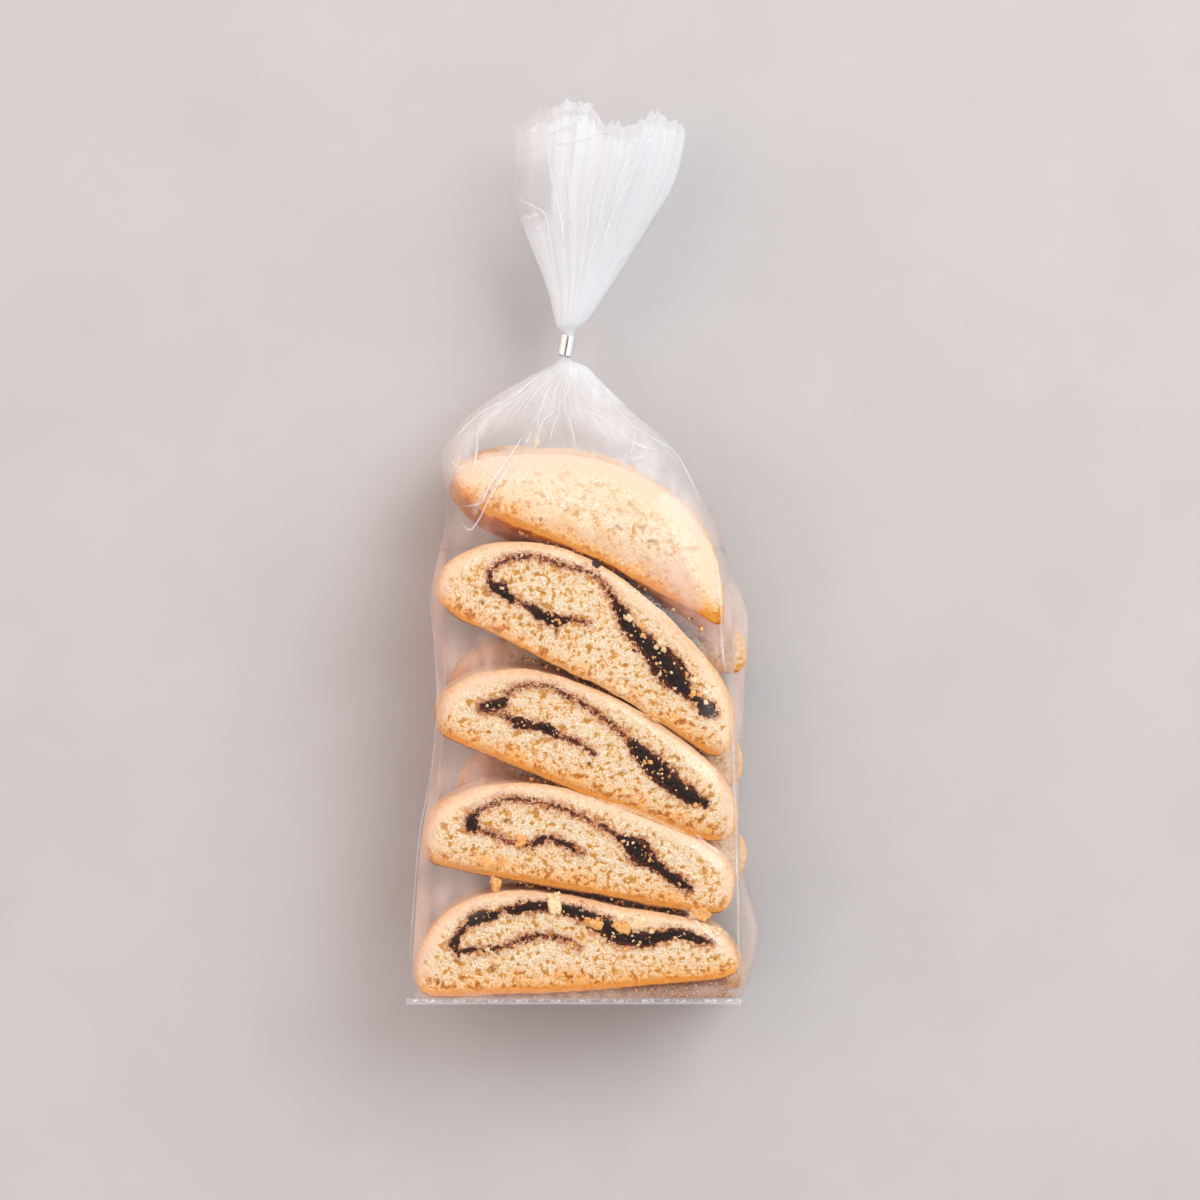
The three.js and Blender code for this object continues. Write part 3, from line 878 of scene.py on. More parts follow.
# Flakes and large crumbs that show, from above: middle, width, length, turn and height.
PALE_FLAKES = [
    (-5.4, 27.6, 4.2, 8.6, 8, 44.6), (18.4, 22.4, 5.4, 5.0, 20, 44.6), (12.8, 24.2, 3.4, 3.2, 50, 44.7),
    (13.0, 88.2, 4.2, 3.2, -30, 44.5), (-32.6, 149.4, 2.2, 9.5, 6, 34.5),
    (-10.8, 158.2, 2.2, 4.2, 10, 31.5), (15.2, 108.4, 2.6, 2.2, 0, 44.7), (33.7, 90.7, 2.4, 2.0, 20, 44.7),
    (24.3, 101.2, 2.5, 2.3, 0, 44.8), (-17.2, 30.4, 1.8, 2.0, 30, 44.2), (40.2, 20.2, 3.0, 2.4, 20, 44.3),
    (34.4, 84.2, 1.6, 1.2, 60, 44.6), (37.0, 84.6, 1.4, 2.0, 10, 44.6), (-20.2, 116.6, 1.2, 1.0, 0, 44.5),
]
# Near-black flakes set down in the gaps under slice 1 and under slice 4: partly dark crumbs and partly
# painted shade in those gaps.
DARK_FLAKES = [
    (5.4, 123.4, 4.4, 2.8, -20, 43.4), (12.4, 120.4, 4.6, 1.4, -28, 43.2), (16.4, 118, 3.0, 1.3, -30, 43.2),
    (20.6, 114.6, 4.2, 1.9, -36, 43.4), (24, 111.8, 3.4, 1.8, -38, 43.3), (27, 108.8, 2.6, 1.2, -40, 43.2),
    (2, 29.2, 3.0, 0.9, -8, 43.2), (-4, 30.2, 2.4, 0.8, -6, 43.2), (13, 27, 3.4, 0.9, -8, 43.2),
]
GOLDEN_FLAKES = [
    (5.6, 22.4, 5.6, 4.0, -20, 44.7), (13.4, 21.4, 4.0, 5.4, 30, 44.6), (35.2, 25.4, 6.6, 4.4, -12, 44.3),
    (22.6, 80.6, 4.2, 2.8, -35, 44.5), (-14.8, 45.9, 3.4, 3.4, 20, 44.4), (-21.8, 34.2, 3.2, 6.0, 6, 43.4),
    (-25, 39.2, 6.0, 4.0, -20, 44.3), (-20.4, 39.8, 4.6, 5.0, 10, 44.3), (-5, 7.9, 5.0, 3.6, 10, 44.1),
    (19.2, 106.0, 1.9, 1.7, 10, 44.8), (19.5, 103.3, 2.3, 1.6, -30, 44.8), (33.4, 87.2, 2.6, 2.3, 30, 44.7),
    (17.4, 104.5, 0.9, 0.8, 0, 44.6), (16, 103.3, 0.9, 0.8, 0, 44.6), (25.5, 98.9, 0.9, 0.8, 0, 44.6),
    (35.2, 86.8, 2.0, 1.4, -50, 44.6), (31.6, 92.6, 1.4, 1.8, 20, 44.6),
]


# The two kinds of crumbs on the jam: the smallest, and how far they spread for the jam's width.
JAM_CRUMBS = [(0.42, 0.36), (0.22, 0.25)]


def crumb_row(place, size, angle):
    """A crumb: its place, its size along each axis and how far it is turned, in degrees."""
    return (*place, *size, math.radians(angle))


def add_crumbs(bm, rows, fineness, rng):
    """Adds craggy crumbs, each a ball squeezed to its size and roughened."""
    ball = bmesh.new()
    bmesh.ops.create_icosphere(ball, subdivisions=fineness, radius=0.5)
    rough = bpy.data.objects.new("crumb", mesh_of(ball, "crumb"))
    bpy.context.collection.objects.link(rough)
    many = rough.modifiers.new("many", "ARRAY")
    many.count = len(rows)
    many.use_relative_offset = False
    ready = rough.evaluated_get(bpy.context.evaluated_depsgraph_get())
    mesh = bpy.data.meshes.new_from_object(ready)
    bpy.data.objects.remove(rough)

    rows = np.array(rows)
    points = places_of(mesh).reshape(len(rows), -1, 3)
    apart = rng.uniform(0, 32, (len(rows), 1, 3))
    cragged = mottle((points + apart * 0.34).reshape(-1, 3), 0.34, 71) * 0.6
    cragged += mottle((points + apart * 0.15).reshape(-1, 3), 0.15, 72) * 0.3
    points = points * (1 + cragged).reshape(len(rows), -1, 1) * rows[:, None, 3:6]
    c, s = np.cos(rows[:, 6:7]), np.sin(rows[:, 6:7])
    x, y, z = points.transpose(2, 0, 1)
    turned = np.stack((x * c - y * s, x * s + y * c, z), axis=2) + rows[:, None, :3]
    move_points(mesh, turned.reshape(-1, 3))
    bm.from_mesh(mesh)
    bpy.data.meshes.remove(mesh)


def flake_crumbs(flake, rng):
    """The crumbs of a flake: a flat clump over its outline."""
    x, y, wide, tall, angle, z = flake
    spun = Matrix.Rotation(math.radians(angle), 2)
    across = min(wide, tall)
    rows = [crumb_row((x, y, z - 0.6), (wide * 0.82, tall * 0.82, min(across * 0.5, 1.6)), angle)]
    for _ in range(int(5 + 2 * max(wide, tall) / across)):
        spot = Vector((rng.uniform(-0.42, 0.42) * wide, rng.uniform(-0.42, 0.42) * tall))
        part = across * rng.uniform(0.2, 0.5)
        centre = Vector((x, y, z - 0.9 + rng.uniform(-0.15, 0.15))) + (spun @ spot).to_3d()
        shape = (part, part * rng.uniform(0.6, 1), min(part * 0.8, 1.9))
        rows.append(crumb_row(centre, shape, rng.uniform(0, 180)))
    return rows


def jam_crumbs(spec, count, smallest, spread, rng):
    """Crumbs on and beside the jam of a slice, most of them where it is widest."""
    route = smooth_path(spec["jam"], False, 300)
    patchy = mottle(np.column_stack((route[:, :2], route[:, 0])), 5, int(rng.integers(1 << 20)))
    weight = route[:, 2] ** 2.0 * np.exp(3 * patchy)
    rows = []
    for pick in rng.choice(len(route), count, p=weight / weight.sum()):
        x, y, width = route[pick]
        x, y = (x, y) + rng.normal(0, width * spread + 0.2, 2)
        size = smallest * (1 + rng.random() + 2.0 * rng.random() ** 5)
        shape = (size, size * rng.uniform(0.6, 1), size * 0.7)
        rows.append(crumb_row((x, y, FRONT_LAYER[1] - 0.1 + size * 0.1), shape, rng.uniform(0, 180)))
    return rows


def gap_crumbs(line, count, rng):
    """Crumbs down in the gap that runs along line."""
    rows = []
    for _ in range(count):
        x, size = rng.uniform(-16, 36), 0.35 + 0.7 * rng.random() ** 2
        place = (x, line(x) + rng.uniform(-0.8, 0.8), 43.0 - 4 * rng.random())
        rows.append(crumb_row(place, (size, size, size), rng.uniform(0, 180)))
    return rows


def bottom_crumbs(count, rng):
    """Fine crumbs that gather along the bottom of the bag, most of them on the right."""
    x = mix(-42, 44, rng.random(count) ** 0.6)
    size = rng.uniform(0.3, 0.8, count)
    y = BODY_START + 0.6 + (1.2 + 3.4 * ease(-20, 42, x)) * rng.random(count) ** 1.2
    z = 42.6 - 30 * rng.random(count) ** 2
    return np.column_stack((x, y, z, size, size, size, rng.uniform(0, 3, count)))


def make_crumbs(name, flakes, finish, seed, on_jam, in_gaps, at_bottom):
    """The flakes that show, and a scatter of small crumbs on the jam, in gaps and at the bottom."""
    rng = np.random.default_rng(seed)
    bm = bmesh.new()
    large = [row for flake in flakes for row in flake_crumbs(flake, rng)]
    small = [row for line, _, _ in dips for row in gap_crumbs(line, in_gaps, rng)]
    for spec in SLICES.values():
        if spec["jam"]:
            count = round(on_jam * spec.get("crumbs", 1))
            for smallest, spread in JAM_CRUMBS:
                small += jam_crumbs(spec, count, smallest, spread, rng)
    if large:
        add_crumbs(bm, large, 3, rng)
    add_crumbs(bm, small, 2, rng)
    add_crumbs(bm, bottom_crumbs(at_bottom, rng), 1, rng)
    mesh = mesh_of(bm, name)
    move_points(mesh, kept_inside(places_of(mesh), CRUMB_GAP))
    add_piece(name, mesh, finish)


def film_section(turn, y):
    """The bag's section at y: x, z, and the place across and up the section, from -1 to 1."""
    angle = 2 * np.pi * turn + np.sin(4 * np.pi * turn) / 6
    c, s = np.cos(angle), np.sin(angle)
    power = squareness(y)
    reach = (abs(c) ** power + abs(s) ** power) ** (-1 / power)
    across, up = c * reach, s * reach
    left = mix(back_left(y), front_left(y), (up + 1) / 2)
    right = mix(back_right(y), front_right(y), (up + 1) / 2)
    fold = gusset(y) * np.exp(-((up / 0.3) ** 2)) * across
    x = (left + right) / 2 + (right - left) / 2 * across - fold
    z = mix(back_height(y), front_height(y), (up + 1) / 2) - sag(x, y) * ease(0.2, 0.95, up)
    return x, z, across, up, c, s


# Soft whitish bands on the front of the film, partly the film's haze and partly painted reflection of the
# bright room: the way each runs, how wide and how thick it is.
VEILS = [
    ([(-24, 152), (-10, 155), (4, 155), (16, 151), (26, 144)], 3.2, 0.14),
    ([(15, 153), (26, 145.5), (34, 137), (38, 126), (41, 112)], 3.6, 0.34),
    ([(-20, 168), (-30, 160), (-34, 150)], 3.5, 0.2),
    ([(-2, 183), (3, 177), (7, 171)], 5.0, 0.32),
    ([(-4, 180), (-14, 173), (-22, 167)], 3.5, 0.12),
    ([(-8, 172), (-10, 164), (-12, 156)], 3.0, 0.16),
    ([(4, 168), (14, 160), (22, 152)], 4.5, 0.28),
    ([(8.5, 174), (12.5, 171.5)], 2.4, 0.30),
    ([(26, 122), (34, 113), (42, 102)], 5.0, 0.36),
    ([(42, 101), (43.5, 70), (44.5, 30)], 2.4, 0.22),
    ([(-40, 128), (-40.5, 100), (-42, 60), (-45, 10)], 3.2, 0.30),
    ([(-33, 134), (-27, 132)], 6, 0.10),
    ([(-43, 1.8), (0, 2.2), (43, 4)], 1.8, 0.22),
    ([(-36, 98), (-26, 98)], 7, 0.24),
    ([(-37, 64), (-28, 65)], 6, 0.22),
    ([(-41, 30), (-33, 32)], 6, 0.22),
    ([(45, 112), (49, 96), (48, 80)], 6.0, 0.62),
    ([(47, 62), (48, 48)], 3.5, 0.22),
    ([(49, 30), (52, 16), (49, 4)], 4.5, 0.26),
]

# Sharp folds of the film: the way each runs, half its width, how proud it stands and how white it is, which
# is partly crease whitening and partly painted highlight.
BODY_FOLDS = [
    ([(-3.3, 181), (-10.9, 177.6), (-17.3, 172), (-26, 167.6), (-33, 161), (-36.6, 155)],
     0.5, 0.3, 0.7),
    ([(-12, 177), (-13.5, 173.2), (-20.5, 168.6), (-27, 162.4), (-27.8, 155.3), (-29.2, 146.5)],
     0.5, 0.3, 0.75),
    ([(-35.6, 152.9), (-33.6, 151.2), (-31.4, 149.8)], 0.6, 0.4, 0.6),
    ([(-13.4, 161.9), (-18.1, 154.2), (-23.4, 146.5), (-25.9, 141.1), (-28.6, 140), (-33.9, 139.5)],
     0.42, 0.3, 0.85),
    ([(-17, 154.2), (-21.2, 146.5), (-24.3, 141.1), (-27, 135.8), (-29.6, 133.1), (-32.8, 136.8)],
     0.4, 0.3, 0.75),
    ([(-24.6, 145.2), (-27.6, 140.6), (-29, 136.2)], 1.6, 0.4, 0.2),
    ([(-12.3, 161.4), (-13.9, 157.5)], 0.6, 0.4, 0.7),
    ([(-5.3, 167.5), (-9.1, 164.2), (-10.6, 158.6), (-11.7, 154.2)], 0.5, 0.4, 0.6),
    ([(-3.7, 168.1), (-6.4, 161.9), (-6.9, 157.5)], 0.45, 0.3, 0.5),
    ([(-8, 171), (-10.4, 166.4), (-12.8, 163)], 0.5, 0.3, 0.4),
    ([(-2.1, 168), (-0.9, 162), (1, 154.2)], 0.5, 0.3, 0.4),
    ([(-0.5, 169.2), (5, 166.5), (10.9, 163.1), (17.4, 157.5), (25.9, 155.3)], 0.6, 0.3, 0.5),
    ([(17.6, 161.7), (16.3, 156.4), (15, 153.6)], 0.6, 0.3, 0.45),
    ([(4.4, 175.4), (10.9, 169.8), (15.2, 164.2), (19.5, 160.8), (28.1, 156), (31.3, 151), (37, 138)],
     0.5, 0.3, 0.5),
    ([(2, 179), (10, 170.6), (18.8, 163), (26.4, 155.6), (32, 148)], 0.4, 0.2, 0.35),
    ([(12, 154.6), (16.4, 153.4), (21, 154.4)], 0.5, 0.3, 0.4),
    ([(-4, 178), (-9, 172), (-14, 168.4)], 0.4, 0.3, 0.35),
    ([(-1, 178), (-2.6, 172), (-6.6, 166)], 0.45, 0.3, 0.4),
    ([(0.5, 178), (3, 171), (8, 164.4), (12, 160)], 0.45, 0.3, 0.4),
    ([(-40.2, 128), (-40.6, 112), (-39.6, 100), (-38.8, 84), (-40.4, 66), (-43.8, 46), (-46, 20),
      (-46.4, 3)], 0.35, 0.25, 0.35),
    ([(-37.4, 108), (-36.8, 96), (-36.6, 84), (-38, 66), (-40.6, 46), (-42.4, 34)], 0.35, 0.2, 0.15),
    ([(43.6, 92), (44.6, 72), (45.4, 52), (46, 28), (46.4, 3)], 0.35, 0.25, 0.4),
    ([(39.6, 127), (41, 112), (41.6, 100), (43, 90)], 0.4, 0.25, 0.4),
    ([(33, 48.4), (38, 44), (44, 40.6)], 0.7, 0.3, 0.25),
    ([(30, 27.6), (36, 21), (43, 14.6)], 0.8, 0.3, 0.22),
]
FAN_FOLDS = [
    ([(-7.9, 243.5), (-6.8, 235.2), (-5.4, 228.8), (-3.8, 221), (-3, 212)], 0.5, 0.3, 0.6),
    ([(-18.2, 230), (-14.4, 227.1), (-10.9, 225.1), (-8.5, 223.1), (-7.3, 217.4), (-6, 208)], 0.5, 0.3, 0.6),
    ([(-15.4, 223.4), (-12.9, 222.2), (-10, 223.8)], 1.3, 0.5, 0.7),
    ([(-12.9, 245.3), (-9.1, 248.4), (-5.9, 251.3)], 0.5, 0.4, 0.6),
    ([(-8.8, 245), (-3.2, 247.3), (3.2, 251.6)], 0.55, 0.4, 0.7),
    ([(-6.7, 242.7), (0.9, 243.7), (6.7, 245.6), (10.2, 246.1)], 0.6, 0.4, 0.6),
    ([(-5, 247.6), (-0.3, 248.2), (3.2, 250.6)], 0.6, 0.4, 0.6),
    ([(-3.6, 252.2), (0.4, 252.6), (4, 251)], 0.8, 0.4, 0.6),
    ([(19.6, 249), (16.1, 241.5), (12.6, 232.3), (9.4, 221)], 0.6, 0.3, 0.5),
    ([(23.7, 250.4), (19.6, 241.5), (14.9, 232.3), (10.2, 222), (6.4, 210)], 0.7, 0.3, 0.5),
    ([(10.2, 206.5), (13.8, 211.4), (19.6, 219.6), (24.1, 228.8), (28.2, 238.1), (31.6, 246.4)],
     0.5, 0.3, 0.55),
    ([(4.6, 227), (6, 223.4), (8.2, 221.6)], 0.5, 0.3, 0.4),
    ([(-2, 241), (-1.4, 228), (-1.2, 214), (-1.2, 200)], 0.5, 0.3, 0.4),
    ([(6, 240), (4.6, 228), (2.6, 214), (0.4, 200)], 0.5, 0.3, 0.4),
    ([(12, 243), (9, 230), (5.6, 216), (1.8, 202)], 0.5, 0.3, 0.4),
]


def banded(plan, bands):
    """How white the soft bands make each point of the plan."""
    white = np.zeros(len(plan))
    for path, width, pale in bands:
        line = smooth_path(path, False, 40)
        near = (plan > line.min(0) - 3 * width).all(1) & (plan < line.max(0) + 3 * width).all(1)
        distance, along = nearest(plan[near], line)
        uneven = 0.8 + 0.4 * mottle(np.column_stack((plan[near], distance * 0)), (2, 6, 2), 7)
        white[near] = np.maximum(white[near], pale * uneven * np.exp(-((distance / width) ** 2)))
    return white


def make_folds(name, folds, finish):
    """Narrow ridges where the film is folded, each a strip with a crest, on the film's front."""
    bm = bmesh.new()
    veil = bm.verts.layers.float.new("veil")
    for number, (path, half, tall, pale) in enumerate(folds):
        line = smooth_path(path, False, 90)
        ahead = np.gradient(line, axis=0)
        ahead /= np.linalg.norm(ahead, axis=1)[:, None]
        strip = bmesh.ops.create_grid(bm, x_segments=8, y_segments=len(line) - 1, size=1)["verts"]
        grid = np.array([vert.co for vert in strip])
        row = np.rint((grid[:, 1] + 1) / 2 * (len(line) - 1)).astype(int)
        along = row / (len(line) - 1)
        fade = ease(0, 0.2, along) * ease(1, 0.8, along)
        wander = mottle(np.column_stack((line[row], along * 0)), 7, number) * half * 0.12
        reach = grid[:, 0] * half * (0.35 + 0.65 * fade) + wander
        plan = line[row] + np.column_stack((-ahead[row, 1], ahead[row, 0])) * reach[:, None]
        crest = ease(-1, 0.55, grid[:, 0]) * ease(1, 0.6, grid[:, 0]) * fade
        _, level = film_levels(plan[:, 0], plan[:, 1])
        level = level + 0.12 + crest * tall
        # The crests are painted white, unevenly: partly crease whitening and partly painted glints.
        glints = 0.75 + 0.35 * mottle(np.column_stack((plan, grid[:, 0])), (2.5, 2.5, 2), number + 50)
        for vert, (x, y), z, white in zip(strip, plan, level, 0.85 * pale * glints * crest**1.2):
            vert.co = (x, y, z)
            vert[veil] = min(max(white, 0), 1)
    return add_film(name, mesh_of(bm, name), finish)


def film_sheet(name, rows, turns, shape):
    """A sleeve of film: shape gives a place and a whiteness to each turn and row."""
    bm = bmesh.new()
    bmesh.ops.create_grid(bm, x_segments=turns, y_segments=len(rows) - 1, size=0.5)
    mesh = mesh_of(bm, name)
    grid = places_of(mesh)
    turn = (np.rint((grid[:, 0] + 0.5) * turns) % turns) / turns
    turn = turn + FRONT_SHARE * np.cos(2 * np.pi * turn) / (2 * np.pi)
    row = np.rint((grid[:, 1] + 0.5) * (len(rows) - 1)).astype(int)
    places, veil = shape(turn, row)
    move_points(mesh, places)
    paint(mesh, "veil", np.clip(veil, 0, 1))

    # The haze of the film is painted warmer over the slices, as light bounced from them.
    paint(mesh, "warm", ease(188, 150, places[:, 1]) * 0.2 + ease(150, 132, places[:, 1]) * 0.8)
    bm = bmesh.new()
    bm.from_mesh(mesh)
    bmesh.ops.remove_doubles(bm, verts=bm.verts[:], dist=1e-4)
    bmesh.ops.recalc_face_normals(bm, faces=bm.faces[:])
    bm.to_mesh(mesh)
    bm.free()
    return mesh


def add_film(name, mesh, finish):
    """A finished piece of film, with a thin wall."""
    piece = add_piece(name, mesh, finish)
    wall = piece.modifiers.new("wall", "SOLIDIFY")
    wall.thickness = FILM_THICKNESS * MM
    wall.offset = 0
    return piece


# The film's mesh is finer over its front by this share.
FRONT_SHARE = 0.35
BODY_TURNS = 330
SHOULDER_START = 128.0
PLEAT_COUNT = 46
pleat_rise = through(
    [(0, 0), (128, 0), (150, 0.3), (165, 0.5), (176, 0.4), (BODY_END, 0.2), (NECK_END, 0.2)]
)


def pleats(turn, count, seed):
    """Sharp ridges and valleys at random turns, each as a height from about -1 to 1."""
    rng = np.random.default_rng(seed)
    total = np.zeros(len(turn))
    for middle in (np.arange(count) + rng.uniform(-0.35, 0.35, count)) / count:
        gap = np.abs((turn - middle + 0.5) % 1 - 0.5)
        width = rng.uniform(0.1, 0.3) / count
        total += rng.choice((-1, 1, 1)) * rng.uniform(0.4, 1) * np.exp(-gap / width)
    return total


def body_shape(turn, y):
    """Places and whiteness of the film between the bottom and the neck."""
    x, z, across, up, c, s = film_section(turn, y)
    front = ease(0.0, 0.6, up)
    flat = np.column_stack((x, y, z))
    loose = mottle(flat, (9, 26, 9), 11) * 0.3 + mottle(flat, (3, 9, 3), 12) * 0.12
    loose *= ease(0, 10, y) * mix(1.4, 0.6, front) * ease(BODY_END, 172, y)
    loose = np.where(up < -0.7, 0, loose)
    ridge = pleat_rise(y) * pleats(turn, PLEAT_COUNT, 5)
    x = x + (loose + ridge) * c
    z = z + (loose + ridge) * s
    neck = ease(134, 180, y)
    streaks = mottle(np.column_stack((turn * 220, y / 14, y * 0)), 1.0, 21) * 0.5 + 0.5
    veil = 0.004 + neck * (0.17 + 0.14 * streaks) + np.clip(np.abs(ridge) - 0.3, 0, 1) * 0.06
    # The whitish bands over the front are partly the film's haze and partly painted reflection.
    veil += banded(np.column_stack((x, y)), VEILS) * ease(-0.8, -0.3, up)
    return np.column_stack((x, y, z)), veil


def make_body_film(finish):
    """The film from the bottom of the bag to the shoulder, closed across the bottom."""
    spread = np.concatenate((np.linspace(0, 1, 14), np.ones(69)))
    rows = np.concatenate((
        np.full(14, BODY_START),
        np.linspace(BODY_START, 6, 9)[1:],
        np.linspace(6, SHOULDER_START, 62)[1:],
    ))

    def shape(turn, row):
        share = spread[row] * np.where(rows[row] == BODY_START, 1 - EDGE_ROUND / BAG_DEPTH, 1)
        places, veil = body_shape(turn, rows[row])
        pole = np.column_stack((places[:, 0] * 0, places[:, 1], places[:, 0] * 0 + BAG_DEPTH / 2))
        return mix(pole, places, share[:, None]), veil

    add_film("film_body", film_sheet("film_body", rows, BODY_TURNS, shape), finish)


def make_shoulder_film(finish):
    """The film that gathers from the shoulder into the neck."""
    rows = np.concatenate((
        np.linspace(SHOULDER_START, BODY_END, 90),
        np.linspace(BODY_END, NECK_MIDDLE.y, 5)[1:],
    ))

    def shape(turn, row):
        return body_shape(turn, rows[row])

    add_film("film_shoulder", film_sheet("film_shoulder", rows, BODY_TURNS, shape), finish)


FAN_TURNS = 430
FAN_PLEATS = 16
fan_depth = through(
    [(NECK_MIDDLE.y, 0.1), (NECK_END, 0.2), (200, 0.6), (215, 1.0), (235, 1.5), (TOP_END, 2.0)]
)


def make_fan_film(finish):
    """The spare film past the clip, in fine pleats that spread to a ragged mouth."""
    rows = np.concatenate((
        np.linspace(NECK_MIDDLE.y, NECK_END, 6),
        np.linspace(NECK_END, TOP_END, 84)[1:],
    ))

    def shape(turn, row):
        y = rows[row]
        x, z, across, _, c, s = film_section(turn, y)
        window = ease(-5.4, -8.2, x) * ease(218, 228, y)
        spin = turn * FAN_PLEATS + 0.35 * np.sin(2 * np.pi * (turn * 3 + 0.2))
        ripples = mottle(np.column_stack((turn * 96, y / 60, y * 0)), 1.0, 32)
        fold = np.cos(2 * np.pi * spin) * 0.25 + pleats(turn, 34, 31) * 0.10 + ripples * 0.16
        fold = fan_depth(y) * (fold * (1 - 0.9 * window) - 0.3)
        x = x + fold * c
        z = z + fold * s
        fan = ease(NECK_END, TOP_END, y) ** 2
        torn = mottle(np.column_stack((turn * 120, x * 0, x * 0)), 1, 33) * 1.2
        y = y + (top_edge(across) - TOP_END + torn) * fan
        streaks = mottle(np.column_stack((turn * 110, y / 40, y * 0)), 1.0, 34) * 0.5 + 0.5
        lobe = ease(238, 243, y) * 0.05
        white = 0.25 + 0.05 * streaks + ease(222, 192, y) * 0.18
        veil = white * (1 - 0.92 * window) + lobe * window
        return np.column_stack((x, y, z)), veil

    add_film("film_fan", film_sheet("film_fan", rows, FAN_TURNS, shape), finish)


def make_seam(finish):
    """The welded strip along the bottom edge of the front, crimped across."""
    bm = bmesh.new()
    bmesh.ops.create_grid(bm, x_segments=470, y_segments=8, size=0.5)
    mesh = mesh_of(bm, "bottom_seam")
    grid = places_of(mesh)
    x = seam_middle + grid[:, 0] * SEAM_WIDTH
    y = (grid[:, 1] + 0.5) * 1.7
    top = BAG_DEPTH - EDGE_ROUND + 0.3
    crimp = np.sin(x * 2 * np.pi / 0.9) * 0.1 * ease(1.7, 1.0, y)
    wavy = mottle(np.column_stack((x, y, y * 0)), (9, 9, 9), 41) * 0.2
    move_points(mesh, np.column_stack((x, y, top + crimp + wavy)))
    dots = mottle(np.column_stack((x, y, y * 0)), (0.55, 0.4, 1), 42)
    welded = 0.6 * ease(0.1, 0.5, dots) * np.exp(-(((y - 1.0) / 0.4) ** 2))
    paint(mesh, "veil", 0.10 + welded + 0.2 * ease(0.5, 0.1, y))
    return add_film("bottom_seam", mesh, finish)


def make_floor():
    """A plain pale table top."""
    f = Finish(bpy.data.materials.new("pale_table"))
    cloud = f.noise(60.0, 4.0, 0.6)
    shade = f.blend(cloud.between(0.3, 0.7), (0.475, 0.468, 0.472), (0.50, 0.494, 0.50))
    surface = f.node("ShaderNodeBsdfPrincipled", {}, {"Base Color": shade, "Roughness": 0.7})
    bm = bmesh.new()
    bmesh.ops.create_grid(bm, x_segments=1, y_segments=1, size=TABLE_REACH)
    mesh = mesh_of(bm, "table")
    mesh.materials.append(f.shown(surface))
    table = bpy.data.objects.new("table", mesh)
    bpy.context.collection.objects.link(table)


def add_light(name, place, aim, size, watts, tint):
    """A soft square lamp at place, turned towards aim, both in metres."""
    lamp = bpy.data.lights.new(name, "AREA")
    lamp.size = size
    lamp.energy = watts
    lamp.color = tint
    light = bpy.data.objects.new(name, lamp)
    light.location = place
    light.rotation_euler = (Vector(aim) - Vector(place)).to_track_quat("-Z", "Y").to_euler()
    bpy.context.collection.objects.link(light)


def make_lights():
    """A large soft window from the upper right, a fainter warm glow from the left, and a pale
    room, darker near the viewer and straight overhead."""
    add_light("window", (1.1, 0.9, 1.35), (0.03, 0, 0), 1.3, 26, (0.97, 1.0, 1.02))
    add_light("wall", (-1.15, 0.45, 1.0), (0, 0.13, 0), 1.7, 8.5, (1.0, 0.84, 0.77))
    f = Finish(bpy.data.worlds.new("room"))
    way = f.node("ShaderNodeTexCoord", {}, {}, "Generated")
    side = f.node("ShaderNodeSeparateXYZ", {}, {"Vector": way}, "X")
    near = f.node("ShaderNodeSeparateXYZ", {}, {"Vector": way}, "Y")
    height = f.node("ShaderNodeSeparateXYZ", {}, {"Vector": way}, "Z")
    walls = f.blend(side.between(-0.9, 0.3), (1.25, 0.95, 0.83), (0.98, 0.975, 0.99))
    walls = f.blend(near.between(0.1, -0.8) * 0.45, walls, (0.55, 0.53, 0.53))
    shade = f.blend(height.between(0.92, 0.985), walls, (0.22, 0.205, 0.20))
    light = f.node("ShaderNodeBackground", {}, {"Color": shade, "Strength": 0.87})
    scene = bpy.context.scene
    scene.world = f.shown(light, "ShaderNodeOutputWorld")
    scene.view_settings.view_transform = "Standard"

    # Light passes through many layers of film where it gathers.
    scene.cycles.transparent_max_bounces = 48


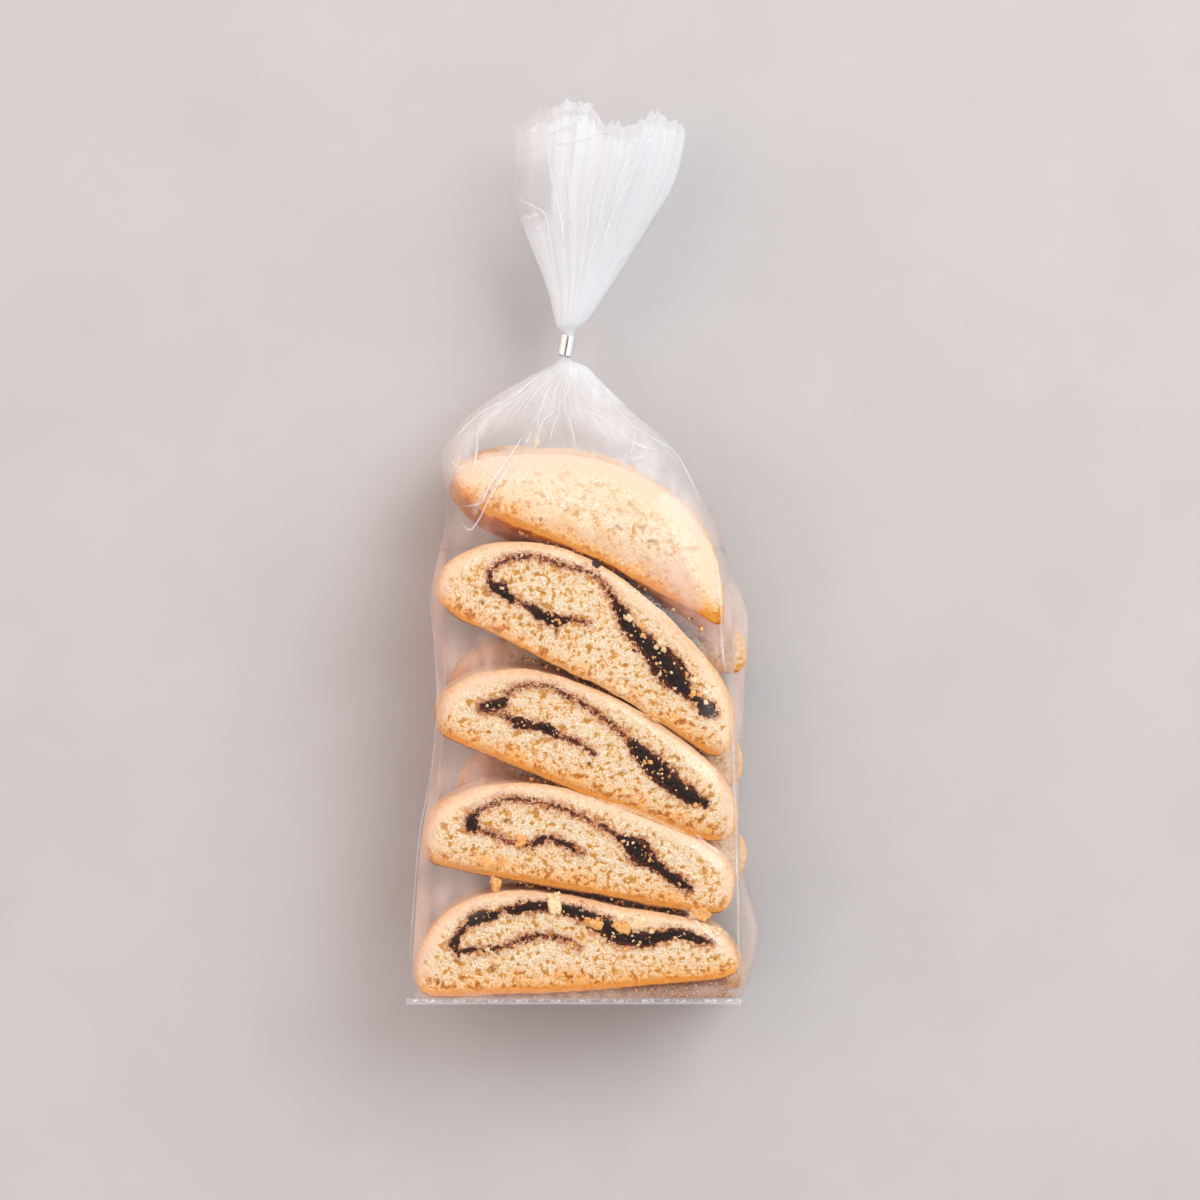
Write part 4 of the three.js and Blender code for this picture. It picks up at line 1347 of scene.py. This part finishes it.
def make_camera():
    """The photograph's view, straight down."""
    lens = bpy.data.cameras.new("camera")
    lens.lens = CAMERA_LENS
    lens.sensor_width = SENSOR
    camera = bpy.data.objects.new("camera", lens)
    camera.location = TO_FRAME @ Vector(CAMERA_PLACE)
    bpy.context.collection.objects.link(camera)
    bpy.context.scene.camera = camera


def make_contents():
    """Both layers of slices, their jam and the loose crumbs."""
    dough, jam = baked_dough(), dark_jam()
    for number, (name, spec) in enumerate(SLICES.items()):
        make_slice(name, spec, None, dough, 100 + number * 10)
        if spec["jam"]:
            make_jam(name.replace("slice", "jam"), spec, None, jam, 100 + number * 10)
    for number, (name, layout) in enumerate(BACK_SLICES.items()):
        spec = SLICES[layout[0]]
        make_slice(name, spec, layout, dough, 200 + number * 10)
        make_jam(name.replace("slice", "jam"), spec, layout, jam, 200 + number * 10)
    pale = loose_crumb("pale_crumb", (0.90, 0.72, 0.47), (0.76, 0.50, 0.25))
    golden = loose_crumb("golden_crumb", (0.86, 0.50, 0.19), (0.70, 0.31, 0.07))
    # The crust-brown crumbs are dark, and most lie along the bottom and in the gaps: partly crust crumbs and
    # partly painted shade there.
    crust_brown_and_shade = loose_crumb("crust_and_shade_crumb", (0.52, 0.22, 0.07), (0.34, 0.12, 0.03))
    dark = loose_crumb("dark_crumb", (0.06, 0.014, 0.007), (0.012, 0.003, 0.002))
    make_crumbs("crumbs_pale", PALE_FLAKES, pale, 61, on_jam=26, in_gaps=3, at_bottom=200)
    make_crumbs("crumbs_golden", GOLDEN_FLAKES, golden, 62, on_jam=26, in_gaps=9, at_bottom=200)
    make_crumbs("crumbs_crust_and_shade", [], crust_brown_and_shade, 63, on_jam=14, in_gaps=60, at_bottom=4200)
    make_crumbs("crumbs_dark", DARK_FLAKES, dark, 64, on_jam=12, in_gaps=12, at_bottom=60)


make_camera()
make_lights()
make_floor()
make_contents()
film = clear_film()
make_body_film(film)
make_shoulder_film(film)
make_fan_film(film)
make_folds("film_body_folds", BODY_FOLDS, film)
make_folds("film_fan_folds", FAN_FOLDS, film)
make_seam(film)
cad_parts["clip"].data.materials.clear()
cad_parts["clip"].data.materials.append(bright_metal())
